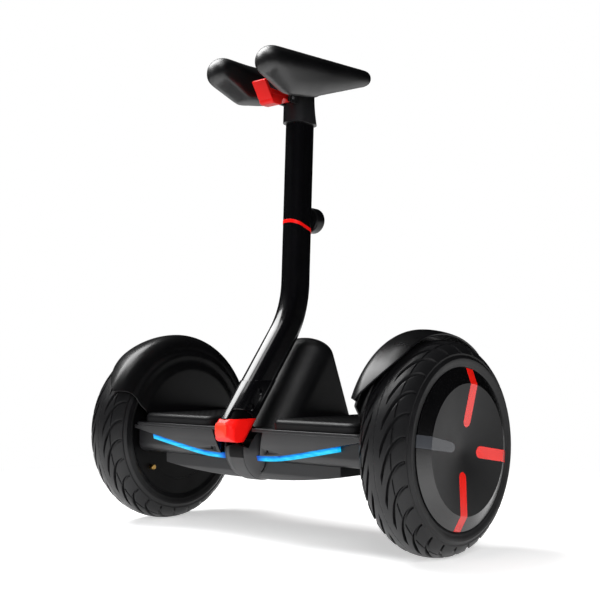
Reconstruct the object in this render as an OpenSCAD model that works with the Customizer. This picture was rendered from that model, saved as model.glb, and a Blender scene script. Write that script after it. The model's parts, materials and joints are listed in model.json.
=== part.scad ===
// Two-wheeled self-balancing scooter, steered with the knees: hub-motor wheels, a deck and a padded bar.
// Right is +X, the front is -Y, and the tyres stand on Z = 0. Every size is in millimetres.

/* [Wheels] */
// Outside diameter of the tyre
tyre_d = 256; // [250:1:262]
// Width of the tyre at its widest
tyre_w = 70; // [66:1:72]
// Distance between the two tyres' centre planes
track = 482; // [474:1:492]
// Radius at which the hub cover's bevel ends on the tyre
cover_r = 95; // [94:0.5:95.5]
// How far the hub cover stands out from the tyre's centre plane
cover_out = 42; // [40:1:46]
// Width of the coloured bars let into the hub cover
insert_w = 14.6; // [10:0.2:18]
// Turn of the four bars away from upright, in degrees
insert_turn = 9; // [0:1:20]

/* [Deck] */
// Height of the deck's top above the floor
deck_z = 146; // [145:0.5:147]
// Depth of the deck from front to back
deck_depth = 194; // [190:1:198]
// Height of a footpad above the deck
pad_h = 14; // [12:0.5:18]
// Distance from the middle to a footpad's inner edge
pad_inner_x = 60; // [56:1:80]
// Height of the light strip's lowest point
strip_z = 108; // [107:0.5:110]
// Rise of the light strip for each millimetre outwards
strip_rise = 0.19; // [0.15:0.01:0.21]

/* [Steering bar] */
// Width of the bar, side to side
bar_w = 30; // [29:0.5:31]
// Depth of the bar, front to back
bar_d = 40; // [39:0.5:41]
// Radius of the bar's rounded corners
bar_r = 13; // [11:0.5:14]
// Angle of the lower bar above the floor, in degrees
bar_pitch = 51.8; // [51:0.2:53]
// Backward lean of the upright part, in degrees
bar_lean = 2.5; // [1:0.5:4]
// Radius of the bend at the bar's centre line
bend_r = 130; // [125:1:135]
// Length of the straight lower part
slope_len = 136; // [134:1:140]
// Length of the telescoping upper sleeve
sleeve_len = 173; // [168:1:180]
// Slope of the red seam ring, in degrees
seam_tilt = 17.5; // [0:0.5:20]

/* [Hidden] */
$fn = 96;

// Sphere facets in the blended mouldings
blend_fn = 28;
// Reach of the volumes that only cut
far = 400;
// Wall of the plastic mouldings
skin = 3;
// Gap that lets a shaft turn in its bearing
running_fit = 0.05;
// Gap between sliding or swinging neighbours
free_gap = 0.3;
// Gap round a piece that is let into its neighbour
seat_gap = 0.2;
// Overlap that joins lengths of one tube, and the swell of its bend over them
weld = 1;
swell = 0.05;

axle_z = tyre_d / 2;
wheel_x = track / 2;
tyre_hw = tyre_w / 2;
// Tyre section: one arc over the crown, then a tighter one over each shoulder that is tangent to it
crown_arc = 58;
crown_hw = 14;
crown_turn = asin(crown_hw / crown_arc);
shoulder_arc = (tyre_hw - crown_hw) / (1 - sin(crown_turn));
shoulder_r = axle_z - crown_arc + (crown_arc - shoulder_arc) * cos(crown_turn);
shoulder_s = (crown_arc - shoulder_arc) * sin(crown_turn);
carcass = 7;
bead_r = 81;
bead_hw = 27;
bead_h = 9;
lip_s = 30.2;
wall_r = 96;
wall_s = 30.8;
skin_steps = 12;
flange_r = 91;
flange_t = 4;
rim_hw = bead_hw + flange_t;
drum_r = 69;
magnet_r = 65.5;
magnet_hw = 13.5;
stator_r = 64.5;
stator_hw = 13;
stator_in = 34;
stator_slots = 27;
slot_in = 42;
slot_len = 20;
slot_w = 4;
spider_from = -10;
spider_t = 14;
spider_holes = 6;
spider_hole_r = 6;
spider_hole_orbit = 22;
axle_r = 10;
bearing_r = 21;
bearing_t = 12;
boss_r = 27;
web_s = 14;
web_t = 6;
axle_in = wheel_x - 172;
axle_out = 19;
valve_r = 3.85;
valve_orbit = 75;
valve_turn = 130;
valve_seat = 16;
valve_tip = 38;
valve_nut_r = 5.5;
valve_nut_t = 2;
air_hole_r = 1.5;
air_hole_in = 3;

// Hub cover: the dish is deepest at the middle and meets the bevel at dish_r
dish_r = 77;
dish_s = 27;
cover_edge_s = 34;
cover_t = 2.8;
insert_t = 1.5;
insert_in = 26;
// Ring under the hub cover that seats on the rim
foot_ring_r = 78;
foot_ring_t = 4;
foot_ring_s = 38;

// Fender shell around the tyre
fender_r = 141;
fender_t = 3;
fender_in_x = 188;
fender_lip_x = 249;
fender_round = 22;
fender_arc = 90;
fender_steps = 6;
fender_corner = 58;
fender_reach = 131;
fender_cut_r = 43;
fender_cut_y = 122;
fender_cut_z = 146;
fender_step_r = 98;
fender_step = 9;
fender_wall_x = fender_in_x + fender_step;
fender_mid_x = fender_wall_x + fender_round;
fender_ring_r = fender_r - fender_round;
fender_dip = asin((fender_lip_x - fender_mid_x) / fender_arc);

// Body between the wheels
body_hw = 200;
deck_hy = deck_depth / 2;
deck_t = 4;
deck_round = 10;
shell_hy = 88;
shell_z = 105;
shell_round = 12;
fascia_top = deck_z - deck_t;
fascia_drop = 38;
fascia_lean = 8.5;
fascia_power = 1.6;
fascia_steps = 6;
fascia_in = 31;
fascia_in_top = 45;
strip_h = 6.4;
strip_in = 26;
strip_out = 163;
strip_knee = 62;
strip_soft = 20;
strip_steps = 16;
strip_back = 4;
strip_inset = 0.8;
strip_end_gap = 0.8;
frame_hx = 196;
frame_hy = 80;
rail_t = 4;
plate_z = 112;
plate_t = 5.5;
post_x = 180;
post_y = 58;
post_r = 6;
bay_x = 110;
bay_y = 40;
bay_hx = 40;
bay_hy = 22;
foot_bay_hx = 46;
block_x = 172;
block_hy = 24;
axle_room = 5;
clamp_top = 138;
bolt_r = 4;
bolt_h = 3;
bolt_in = 7;
bolt_y = 17;
housing_hx = 26;
housing_front = -46;
housing_back = 14;
steer_z = 126.8;
shaft_r = 9;
shaft_room = 3;
shaft_front = -74;
shaft_back = housing_back + 2;
steer_bearing_r = 15;
steer_bearing_t = 10;
steer_swing = 15;
battery_hx = 128;
battery_hy = 68;
battery_z = 95.8;
battery_room = 2;
board_hx = 64;
board_front = 20;
board_back = 72;
board_t = 1.6;
capacitor_r = 6;
capacitor_h = 15;
capacitor_y = 34;
capacitor_pitch = 16;
heat_sink_hx = 60;
heat_sink_h = 8;
heat_sink_t = 14;
tray_hx = 154;
tray_hy = 78;
tray_mid_z = 80.5;
tray_rise = 12;
tray_round = 10;
platform_h = 9;
platform_in = 6;
pad_outer_x = 187.4;
pad_mid_x = (pad_inner_x + pad_outer_x) / 2;
pad_hy = 92;
pad_round = 12;
pad_edge_r = 7;
sensor_t = 1.5;
sensor_hx = 34;
sensor_hy = 26;
sensor_y = 45;
sensor_room = 0.1;

// Nose: a barrel across the front, opened above for the bar's foot
nose_y = -58;
nose_z = 118;
nose_r = 40;
nose_hw = 36;
nose_back = -79;
nose_low_back = -45;
nose_low_z = 90;
nose_end_round = 26;
nose_end_steps = 8;
band_hw = 12.4;
band_t = 1.8;
notch_hw = 20;
notch_top_hw = 26;
notch_back = -62;
notch_drop = 0.5;

// Centre console: front and rear faces lean as the bar and the rear edge do
console_gap = 10;
console_top_y = 34;
console_top_z = 236.5;
console_top_r = 26;
console_top_hx = 47;
console_foot_r = 20;
console_foot_hx = 48;
console_front_run = 20;
console_rear_run = 70;
console_rear = 70;
console_rear_y = console_top_y + console_top_r * sin(console_rear);
console_rear_z = console_top_z + console_top_r * cos(console_rear);
button_z = 200;
button_y = console_rear_y + (console_rear_z - button_z) / tan(console_rear);
button_r = 10;
button_out = 1;
button_in = 9;
button_rim = 3;
port_z = 127.5;
port_r = 9;
port_back = 80.2;
port_bore_r = 6.2;
port_bore_back = 84;
port_flange_r = 14.5;
port_flange_t = 4;
port_face = deck_hy;
port_lug_x = 8;
port_lug_t = 3;
port_lug_out = port_lug_x + port_lug_t / 2;
port_lug_z = 9.5;
port_hinge_z = 141.5;
port_hinge_y = deck_hy + 2.2;
port_pin_r = 1.2;
port_pin_hx = 9;
port_knuckle_r = 2;
port_cover_r = 11;
port_cover_t = 2.4;
port_cover_hx = 6;

// Bar centre line, from its foot up to the telescoping seam
foot_y = -96;
foot_z = 156;
slope_tilt = bar_pitch - 90;
bend_turn = 90 - bar_lean - bar_pitch;
bend_from_y = foot_y + slope_len * cos(bar_pitch);
bend_from_z = foot_z + slope_len * sin(bar_pitch);
bend_y = bend_from_y - bend_r * sin(bar_pitch);
bend_z = bend_from_z + bend_r * cos(bar_pitch);
upright_y = bend_y + bend_r * cos(bar_lean);
upright_z = bend_z - bend_r * sin(bar_lean);
bar_wall = 2;
slide_gap = 0.3;
tube_w = bar_w - 2 * bar_wall - 2 * slide_gap;
tube_d = bar_d - 2 * bar_wall - 2 * slide_gap;
tube_r = bar_r - bar_wall - slide_gap;
tube_wall = 1.8;
tube_from = 35;
tube_to = 215;
seam_s = 75;
seam_t = 2.2;
sleeve_s = seam_s + seam_t + free_gap;
sleeve_top = seam_s + sleeve_len;
base_seam_z = 205;
base_run = 110;
plug_to = 80;
plug_from = -10;
plug_r = 11;
plug_fit = 0.5;
plug_wall = 3.5;
plug_floor = 10;
yoke_r = 13.5;
yoke_hx = 11;
yoke_front = -77;
yoke_back = -50;
yoke_low = 116.5;
arm_front = -92;
arm_back = -60;
arm_z = 134;
arm_top_y = -80;
arm_top_z = 149;
arch_r = 30.4;
arch_y = -106.3;
arch_z = 140.3;
arch_in = 5;
cap_lip = 1.2;
cap_hx = bar_w / 2 + cap_lip;
cap_top = 158;
cap_nose_r = 16;
cap_nose_y = -110.5;
cap_nose_z = 144.5;
cap_round = 14;
cap_floor = cap_nose_z - cap_nose_r;
cap_heel_y = -97;
cap_heel = 5;
cap_steps = 10;
cap_wall = 2.5;
cap_door_z = 151;
cap_plug_w = 20;
cap_plug_h = 20;
cap_plug_r = 6;
cap_plug_out = 1.6;

// Padded head on the upper sleeve
collar_s = 217;
collar_t = 4;
head_hx = 26;
head_from = -40;
head_to = 24;
head_s = 256;
head_top = 280;
lug_x = 11;
lug_t = 4;
lug_r = 6;
lever_y = -30;
lever_s = 246;
lever_hx = 8.6;
lever_r = 5;
paddle_hx = 12;
paddle_y = -76;
paddle_s = 2.5;
paddle_h = 26.6;
paddle_t = 5;
paddle_tilt = 34.3;
pin_r = 2.5;
pin_len = 26;
knob_s = 88;
knob_r = 17.5;
knob_stem_r = 4;
knob_from = bar_d / 2 + 2;
knob_len = 19;
knob_boss_r = 9;
knob_face_r = 6;
knob_back_r = 4;

// Knee pad: middles and radii of the balls that its cushion is blended from, front to back
pad_front = [44, -80, 611];
pad_front_r = 22;
pad_low = [40, -46, 594];
pad_low_r = 20;
pad_mid = [42, 0, 600];
pad_mid_r = 19;
pad_tail = [57, 92, 621];
pad_tail_r = 12;

// Height of the light strip's middle line at a distance from the object's middle
function strip_at(x) = strip_z + strip_rise * (sqrt(pow(abs(x) - strip_knee, 2) + pow(strip_soft, 2))
    + abs(x) - strip_knee) / 2;

// Front face of the fascia at a height
function fascia_at(z) = -deck_hy + fascia_lean * pow((fascia_top - z) / fascia_drop, fascia_power);

// Underside of the battery housing at a distance from the middle
function tray_at(x) = tray_mid_z + tray_rise * pow(abs(x) / tray_hx, 2);

// Draws on the right as given, or mirrored on the left
module on_side(side) {
    if (side > 0) children();
    else mirror([1, 0, 0]) children();
}

// Turns a profile of (radius, distance outwards) about the right wheel's axle
module turned() {
    translate([wheel_x, 0, axle_z]) rotate([0, 90, 0]) rotate_extrude() children();
}

// Extrudes a (y, z) outline across the object from x0 to x1
module across(x0, x1) {
    translate([x0, 0, 0]) rotate([90, 0, 90]) linear_extrude(x1 - x0) children();
}

// Extrudes an (x, z) outline from y0 back to y1
module through(y0, y1) {
    translate([0, y1, 0]) rotate([90, 0, 0]) linear_extrude(y1 - y0) children();
}

// Box between two corners
module span(from, to) {
    translate(from) cube(to - from);
}

// Rod along X, Y or Z through a point
module rod_x(r, x0, x1, y, z) {
    translate([x0, y, z]) rotate([0, 90, 0]) cylinder(h = x1 - x0, r = r);
}
module rod_y(r, y0, y1, x, z) {
    translate([x, y1, z]) rotate([90, 0, 0]) cylinder(h = y1 - y0, r = r);
}
module rod_z(r, z0, z1, x, y) {
    translate([x, y, z0]) cylinder(h = z1 - z0, r = r);
}

// Rectangle with round corners about the origin
module rounded(w, d, r) {
    square([w, d - 2 * r], center = true);
    square([w - 2 * r, d], center = true);
    for (x = [-1, 1], y = [-1, 1])
        translate([x * (w / 2 - r), y * (d / 2 - r)]) circle(r);
}

// Frames of the bar: its slope, and its upright part
module on_slope() {
    translate([0, foot_y, foot_z]) rotate([slope_tilt, 0, 0]) children();
}
module on_upright() {
    translate([0, upright_y, upright_z]) rotate([-bar_lean, 0, 0]) children();
}

// Half space below the seam's slope at a height on the upright part
module below_seam(s) {
    translate([0, 0, s]) rotate([-seam_tilt, 0, 0]) translate([-far / 2, -far / 2, -far]) cube(far);
}

// WHEELS

// Line of the tyre's skin, drawn in by a wall thickness, as (radius, distance from the centre plane)
function skin_point(wall, a) = abs(a) <= crown_turn
    ? [axle_z - crown_arc, 0] + (crown_arc - wall) * [cos(a), sin(a)]
    : [shoulder_r, sign(a) * shoulder_s] + (shoulder_arc - wall) * [cos(a), sin(a)];
function skin_line(wall) = [for (i = [-skin_steps:skin_steps]) skin_point(wall, i * 90 / skin_steps)];

module tyre(side) {
    lip_r = flange_r + seat_gap;
    inner_hw = bead_hw - carcass;
    color("#1c1c1e") on_side(side) turned() difference() {
        polygon(concat([[bead_r, -bead_hw], [lip_r, -bead_hw], [lip_r, -lip_s], [wall_r, -wall_s]],
            skin_line(0), [[wall_r, wall_s], [lip_r, lip_s], [lip_r, bead_hw], [bead_r, bead_hw]]));
        polygon(concat([[bead_r - 1, -inner_hw], [bead_r + bead_h, -inner_hw]], skin_line(carcass),
            [[bead_r + bead_h, inner_hw], [bead_r - 1, inner_hw]]));
    }
}

module rim(side) {
    color("#3a3b3d") on_side(side) difference() {
        turned() polygon([
            [drum_r, -rim_hw], [flange_r, -rim_hw], [flange_r, -bead_hw], [bead_r, -bead_hw],
            [bead_r, bead_hw], [flange_r, bead_hw], [flange_r, rim_hw], [drum_r, rim_hw],
            [drum_r, web_s + web_t], [bearing_r, web_s + web_t], [bearing_r, web_s + web_t - bearing_t],
            [boss_r, web_s + web_t - bearing_t], [boss_r, web_s], [drum_r, web_s]]);
        at_valve() rotate([0, -90, 0]) cylinder(h = valve_seat + 1, r = valve_r);
        at_valve() translate([-air_hole_in, 0, 0]) cylinder(h = bead_r - valve_orbit + 1, r = air_hole_r);
    }
}

// Valve seat on the inner face of the right rim, its Z axis pointing away from the axle
module at_valve() {
    translate([wheel_x - rim_hw + valve_seat, 0, axle_z]) rotate([valve_turn, 0, 0])
        translate([0, 0, valve_orbit]) children();
}

module rotor_magnets(side) {
    color("#8d8f92") on_side(side) turned()
        translate([magnet_r, -magnet_hw]) square([drum_r - magnet_r, 2 * magnet_hw]);
}

module motor_cover(side) {
    color("#3a3b3d") on_side(side) turned() polygon([
        [bearing_r, -rim_hw], [drum_r, -rim_hw], [drum_r, -rim_hw + web_t], [boss_r, -rim_hw + web_t],
        [boss_r, -rim_hw + bearing_t], [bearing_r, -rim_hw + bearing_t]]);
}

module wheel_bearings(side) {
    bore = axle_r + running_fit;
    color("silver") on_side(side) turned() for (s = [-rim_hw, web_s + web_t - bearing_t])
        translate([bore, s]) square([bearing_r - bore, bearing_t]);
}

// Layer of the hub cover's dish and bevel between two depths below its outer face
module dish_layer(top, bottom) {
    turned() polygon([[0, dish_s - top], [dish_r, cover_out - top], [cover_r, cover_edge_s - top],
        [cover_r, cover_edge_s - bottom], [dish_r, cover_out - bottom], [0, dish_s - bottom]]);
}

// Bars let into the right hub cover, at the given turns from the top one
module insert_bars(turns, width) {
    for (a = turns)
        translate([wheel_x, 0, axle_z]) rotate([0, 90, 0]) rotate([0, 0, 180 - insert_turn + a]) {
            translate([insert_in + insert_w / 2, -width / 2, 0]) cube([cover_r, width, far / 4]);
            translate([insert_in + insert_w / 2, 0, 0]) cylinder(h = far / 4, d = width);
        }
}

module hub_cover(side) {
    color("#1b1b1d") on_side(side) difference() {
        union() {
            dish_layer(0, cover_t);
            turned() translate([foot_ring_r, rim_hw]) square([foot_ring_t, foot_ring_s - rim_hw]);
        }
        intersection() {
            dish_layer(-cover_t, insert_t);
            insert_bars([0, 90, 180, 270], insert_w + seat_gap);
        }
    }
}

module red_inserts(side) {
    color("#e8202a") on_side(side) intersection() {
        dish_layer(0, insert_t);
        insert_bars([0, 180, 270], insert_w);
    }
}

module smoke_insert(side) {
    color("#4a4b50") on_side(side) intersection() {
        dish_layer(0, insert_t);
        insert_bars([90], insert_w);
    }
}

module valve_stem(side) {
    color("#b08d3c") on_side(side) at_valve() rotate([0, -90, 0]) {
        cylinder(h = valve_tip - rim_hw + valve_seat, r = valve_r);
        translate([0, 0, valve_seat]) cylinder(h = valve_nut_t, r = valve_nut_r);
    }
}

module axle(side) {
    color("silver") on_side(side) rod_x(axle_r, wheel_x - axle_in, wheel_x + axle_out, 0, axle_z);
}

module motor_stators() {
    color("#b87333") for (side = [-1, 1]) on_side(side)
        translate([wheel_x, 0, axle_z]) rotate([0, 90, 0]) {
            translate([0, 0, -stator_hw]) linear_extrude(2 * stator_hw) difference() {
                circle(stator_r);
                circle(stator_in);
                for (i = [0:stator_slots - 1])
                    rotate(i * 360 / stator_slots) translate([slot_in, -slot_w / 2])
                        square([slot_len, slot_w]);
            }
            translate([0, 0, spider_from]) linear_extrude(spider_t) difference() {
                circle(stator_in + 1);
                circle(axle_r);
                for (i = [0:spider_holes - 1])
                    rotate(i * 360 / spider_holes) translate([spider_hole_orbit, 0]) circle(spider_hole_r);
            }
        }
}

// BODY

module chassis_frame() {
    color("#55585c") difference() {
        union() {
            span([-frame_hx, -frame_hy, plate_z], [frame_hx, frame_hy, plate_z + plate_t]);
            for (y = [-frame_hy, frame_hy - rail_t])
                span([-frame_hx, y, plate_z], [frame_hx, y + rail_t, fascia_top]);
            for (side = [-1, 1]) on_side(side)
                span([block_x, -block_hy, plate_z], [frame_hx, block_hy, axle_z]);
            span([-housing_hx, housing_front, plate_z], [housing_hx, housing_back, fascia_top - 1]);
            for (x = [-1, 1], y = [-1, 1])
                rod_z(post_r, shell_z + skin, plate_z + 1, x * post_x, y * post_y);
        }
        for (side = [-1, 1]) on_side(side) rod_x(axle_r, block_x - 1, frame_hx + 1, 0, axle_z);
        rod_y(shaft_r + shaft_room, housing_front - 1, housing_back + 1, 0, steer_z);
        for (y = [housing_front - 1, housing_back - steer_bearing_t])
            rod_y(steer_bearing_r, y, y + steer_bearing_t + 1, 0, steer_z);
        span([-foot_bay_hx, -far / 4, plate_z - 1], [foot_bay_hx, housing_front - 2, fascia_top + 1]);
        for (x = [-1, 1], y = [-1, 1]) translate([x * bay_x, y * bay_y, plate_z - 1])
            linear_extrude(plate_t + 2) square([2 * bay_hx, 2 * bay_hy], center = true);
    }
}

// Box with its two lower long edges rounded, as a (y, z) outline
module trough(hy, z0, z1, r) {
    polygon([[-hy, z1], [-hy, z0 + r], [-hy + r, z0], [hy - r, z0], [hy, z0 + r], [hy, z1]]);
    for (y = [-1, 1]) translate([y * (hy - r), z0 + r]) circle(r);
}

// Region of (x, z) above a line offset from the light strip's middle
module above_strip(offset_z) {
    xs = [for (i = [-strip_steps:strip_steps]) i * (body_hw + 1) / strip_steps];
    polygon(concat([for (x = xs) [x, strip_at(x) + offset_z]], [[body_hw + 1, far], [-body_hw - 1, far]]));
}

// Region of (x, z) above the lower shell's upper edge, which rises beyond the strips' ends
module strip_slot() {
    difference() {
        above_strip(-strip_h / 2 - seat_gap);
        difference() {
            for (x = [-1, 1])
                translate([x * (strip_out + seat_gap + far / 2), 0]) square([far, far], center = true);
            above_strip(strip_h / 2 + seat_gap - strip_end_gap);
        }
    }
}

module lower_shell() {
    color("#2c2d30") difference() {
        across(-body_hw, body_hw) trough(shell_hy, shell_z, fascia_top, shell_round);
        across(-body_hw + skin, body_hw - skin)
            trough(shell_hy - skin, shell_z + skin, fascia_top + 1, shell_round - skin);
        for (y = [0, 1]) mirror([0, y, 0])
            through(-far, -shell_hy + skin + strip_back) strip_slot();
        translate([0, 0, shell_z - 1]) linear_extrude(skin + 2)
            square([2 * (battery_hx + battery_room), 2 * (battery_hy + battery_room)], center = true);
        nose_room();
        for (side = [-1, 1]) on_side(side)
            rod_x(axle_r + axle_room, body_hw - skin - 1, body_hw + 1, 0, axle_z);
    }
}

// Curved band of the front or rear fascia, between two depths behind its face, as a (y, z) outline
module fascia_band(near, deep) {
    zs = [for (i = [0:fascia_steps]) fascia_top - i * fascia_drop / fascia_steps];
    polygon(concat([for (z = zs) [fascia_at(z) + near, z]],
        [for (i = [fascia_steps:-1:0]) [fascia_at(zs[i]) + deep, zs[i]]]));
}

// V-shaped opening in which the bar's foot swings, as an (x, z) outline
module foot_notch() {
    low = steer_z - notch_drop;
    side_low = low - notch_hw * tan(steer_swing);
    polygon([[0, low], [notch_hw, side_low], [notch_top_hw, fascia_top], [notch_top_hw, far],
        [-notch_top_hw, far], [-notch_top_hw, fascia_top], [-notch_hw, side_low]]);
}

module fascia() {
    intersection() {
        across(-body_hw, body_hw) fascia_band(0, skin);
        through(-far, 0) above_strip(strip_h / 2 + seat_gap);
    }
}

module front_fascia() {
    color("#2c2d30") difference() {
        fascia();
        through(-far, 0) polygon([[-fascia_in, strip_z - strip_h], [fascia_in, strip_z - strip_h],
            [fascia_in_top, fascia_top + 1], [-fascia_in_top, fascia_top + 1]]);
        nose_room();
    }
}

module rear_fascia() {
    color("#2c2d30") difference() {
        mirror([0, 1, 0]) fascia();
        rod_y(port_flange_r + seat_gap, 0, far, 0, port_z);
        span([-port_lug_out - seat_gap, 0, port_z], [port_lug_out + seat_gap, far, far]);
    }
}

// Solid of the nose barrel at a radius, its ends rounded
module barrel(r, hw) {
    end = [for (i = [0:nose_end_steps]) [r - nose_end_round, hw - nose_end_round]
        + nose_end_round * [cos(90 * i / nose_end_steps), sin(90 * i / nose_end_steps)]];
    translate([0, nose_y, nose_z]) rotate([0, 90, 0]) rotate_extrude() polygon(concat([[0, -hw]],
        [for (i = [nose_end_steps:-1:0]) [end[i].x, -end[i].y]], end, [[0, hw]]));
}

// Space that the nose takes from its neighbours
module nose_room() {
    barrel(nose_r + seat_gap, nose_hw + seat_gap);
}

// Part of the nose that shows in front of and under the body, below the bar's foot
module nose_zone() {
    difference() {
        union() {
            span([-far, -far, 0], [far, nose_back, fascia_top]);
            span([-far, -far, 0], [far, nose_low_back, nose_low_z]);
        }
        through(-far, 0) foot_notch();
    }
}

module nose_cover() {
    color("#3a3b3e") difference() {
        intersection() {
            barrel(nose_r, nose_hw);
            nose_zone();
        }
        barrel(nose_r - skin, nose_hw - skin);
        difference() {
            span([-band_hw - seat_gap / 2, -far, 0], [band_hw + seat_gap / 2, 0, far]);
            barrel(nose_r - band_t, nose_hw);
        }
    }
}

module nose_band() {
    color("#1a1a1c") intersection() {
        difference() {
            barrel(nose_r + 2 * seat_gap, nose_hw);
            barrel(nose_r - band_t, nose_hw);
        }
        span([-band_hw, -far, 0], [band_hw, 0, far]);
        nose_zone();
    }
}

// Raised platform under the right footpad, drawn in by a wall thickness
module platform(wall, z0, z1) {
    inset = platform_in + wall;
    span([pad_inner_x + inset, -pad_hy + inset, z0], [pad_outer_x - inset, pad_hy - inset, z1]);
}

module deck() {
    color("#2b2c2e") difference() {
        union() {
            translate([0, 0, fascia_top]) linear_extrude(deck_t)
                rounded(2 * body_hw, deck_depth, deck_round);
            for (side = [-1, 1]) on_side(side) platform(0, fascia_top, deck_z + platform_h);
        }
        for (side = [-1, 1]) on_side(side) platform(skin, fascia_top - 1, deck_z + platform_h - skin);
        through(-far, notch_back) foot_notch();
    }
}

module footpad(side) {
    wide = pad_outer_x - pad_inner_x;
    color("#161617") on_side(side) difference() {
        intersection() {
            translate([pad_mid_x, 0, deck_z]) linear_extrude(pad_h) rounded(wide, 2 * pad_hy, pad_round);
            across(0, far) translate([0, deck_z]) rounded(2 * (pad_hy + seat_gap), 2 * pad_h, pad_edge_r);
        }
        platform(0, deck_z - 1, deck_z + platform_h);
        for (y = [-1, 1]) sensor(y, sensor_room);
    }
}

// Pressure switch under a footpad, at its front or back
module sensor(y, room) {
    translate([pad_mid_x, y * sensor_y, deck_z + platform_h - room]) linear_extrude(sensor_t + 2 * room)
        square([2 * (sensor_hx + room), 2 * (sensor_hy + room)], center = true);
}

module foot_sensors() {
    color("#2f5d3a") for (side = [-1, 1], y = [-1, 1]) on_side(side) sensor(y, 0);
}

module battery_housing() {
    color("#26272a") difference() {
        tray_form(0, shell_z - seat_gap);
        tray_form(skin, shell_z + 1);
        nose_room();
    }
}

// Solid of the battery housing, drawn in by a wall thickness
module tray_form(wall, top) {
    xs = [for (i = [-strip_steps:strip_steps]) i * tray_hx / strip_steps];
    intersection() {
        across(-tray_hx + wall, tray_hx - wall)
            trough(tray_hy - wall, tray_mid_z + wall, top, tray_round - wall);
        through(-far, far)
            polygon(concat([for (x = xs) [x, tray_at(x) + wall]], [[tray_hx, far], [-tray_hx, far]]));
    }
}

module battery_pack() {
    color("#2d3c63") span(
        [-battery_hx, -battery_hy, battery_z], [battery_hx, battery_hy, plate_z - 2 * seat_gap]);
}

module controller_board() {
    z = plate_z + plate_t;
    top = z + board_t;
    sink_back = board_back - capacitor_r;
    color("#1f5c34") {
        span([-board_hx, board_front, z], [board_hx, board_back, top]);
        for (i = [-3:3])
            rod_z(capacitor_r, z, z + capacitor_h, i * capacitor_pitch, capacitor_y);
        span([-heat_sink_hx, sink_back - heat_sink_t, z], [heat_sink_hx, sink_back, z + heat_sink_h]);
    }
}

// Solid bar of a light strip from its inner to its outer end
module strip_bar() {
    xs = [for (i = [0:strip_steps]) strip_in + i * (strip_out - strip_in) / strip_steps];
    color("#35b6ff") difference() {
        intersection() {
            through(-far, 0) polygon(concat([for (x = xs) [x, strip_at(x) - strip_h / 2]],
                [for (i = [strip_steps:-1:0]) [xs[i], strip_at(xs[i]) + strip_h / 2]]));
            across(0, far) fascia_band(strip_inset, skin + strip_back);
        }
        nose_room();
    }
}

module tail_lights() {
    color("#8f1016") for (side = [-1, 1]) on_side(side) mirror([0, 1, 0]) strip_bar();
}

module axle_clamps() {
    color("#6d7074") for (side = [-1, 1]) on_side(side) {
        difference() {
            span([block_x, -block_hy, axle_z], [frame_hx, block_hy, clamp_top]);
            rod_x(axle_r, block_x - 1, frame_hx + 1, 0, axle_z);
        }
        for (x = [block_x + bolt_in, frame_hx - bolt_in], y = [-bolt_y, bolt_y])
            rod_z(bolt_r, clamp_top, clamp_top + bolt_h, x, y);
    }
}

module steering_bearings() {
    color("silver") for (y = [housing_front, housing_back - steer_bearing_t])
        difference() {
            rod_y(steer_bearing_r, y, y + steer_bearing_t, 0, steer_z);
            rod_y(shaft_r + running_fit, y - 1, y + steer_bearing_t + 1, 0, steer_z);
        }
}

module fender(side) {
    corner_y = fender_reach - fender_corner;
    color("#202022") on_side(side) difference() {
        intersection() {
            translate([0, 0, axle_z]) rotate([0, 90, 0]) rotate_extrude() fender_section();
            translate([fender_lip_x - fender_corner - far / 2, 0, deck_z]) linear_extrude(far) {
                for (y = [-1, 1]) translate([far / 2, y * corner_y]) circle(fender_corner);
                square([far, 2 * fender_reach], center = true);
                translate([far / 2, 0]) square([2 * fender_corner, 2 * corner_y], center = true);
            }
        }
        for (m = [0, 1]) mirror([0, m, 0]) {
            rod_x(fender_cut_r, 0, far, fender_cut_y, fender_cut_z);
            span([0, fender_cut_y, 0], [far, far, fender_cut_z + fender_cut_r]);
        }
    }
}

// Fender's shoulder and crown, drawn in by a wall thickness, as (radius, distance from the middle)
function fender_line(wall) = concat(
    [for (i = [0:fender_steps]) [fender_ring_r, fender_mid_x]
        + (fender_round - wall) * [sin(90 * i / fender_steps), -cos(90 * i / fender_steps)]],
    [for (i = [1:fender_steps]) [fender_r - fender_arc, fender_mid_x]
        + (fender_arc - wall) * [cos(fender_dip * i / fender_steps), sin(fender_dip * i / fender_steps)]]);

module fender_section() {
    inner = fender_line(fender_t);
    polygon(concat([[0, fender_in_x], [fender_step_r, fender_in_x]], fender_line(0),
        [for (i = [len(inner) - 1:-1:0]) inner[i]],
        [[fender_step_r, fender_in_x + fender_t], [0, fender_in_x + fender_t]]));
}

// Blended solid of the console, drawn in by a wall thickness
module console_form(wall) {
    lean = [0, sin(bar_pitch), -cos(bar_pitch)];
    rear = [0, sin(console_rear), cos(console_rear)];
    front_foot = [0, foot_y, foot_z] + (bar_d / 2 + console_gap + console_foot_r) * lean
        - console_front_run * [0, cos(bar_pitch), sin(bar_pitch)];
    rear_foot = [0, button_y, button_z] - console_foot_r * rear
        + console_rear_run * [0, cos(console_rear), -sin(console_rear)];
    hull() {
        for (foot = [front_foot, rear_foot])
            translate(foot) console_lobe(console_foot_r - wall, console_foot_hx - wall);
        translate([0, console_top_y, console_top_z]) console_lobe(console_top_r - wall, console_top_hx - wall);
    }
}

// Ball of the console's blend, stretched sideways
module console_lobe(r, hx) {
    scale([hx / r, 1, 1]) sphere(r, $fn = blend_fn);
}

// Frame of the power button on the console's rear face, its Z axis pointing out
module at_button() {
    translate([0, button_y, button_z]) rotate([-console_rear, 0, 0]) children();
}

module centre_console() {
    color("#1e1e20") difference() {
        console_form(0);
        console_form(skin);
        span([-far, -far, 0], [far, far, deck_z]);
        at_button() cylinder(h = 4 * button_r, r = button_r + free_gap, center = true);
    }
}

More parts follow.
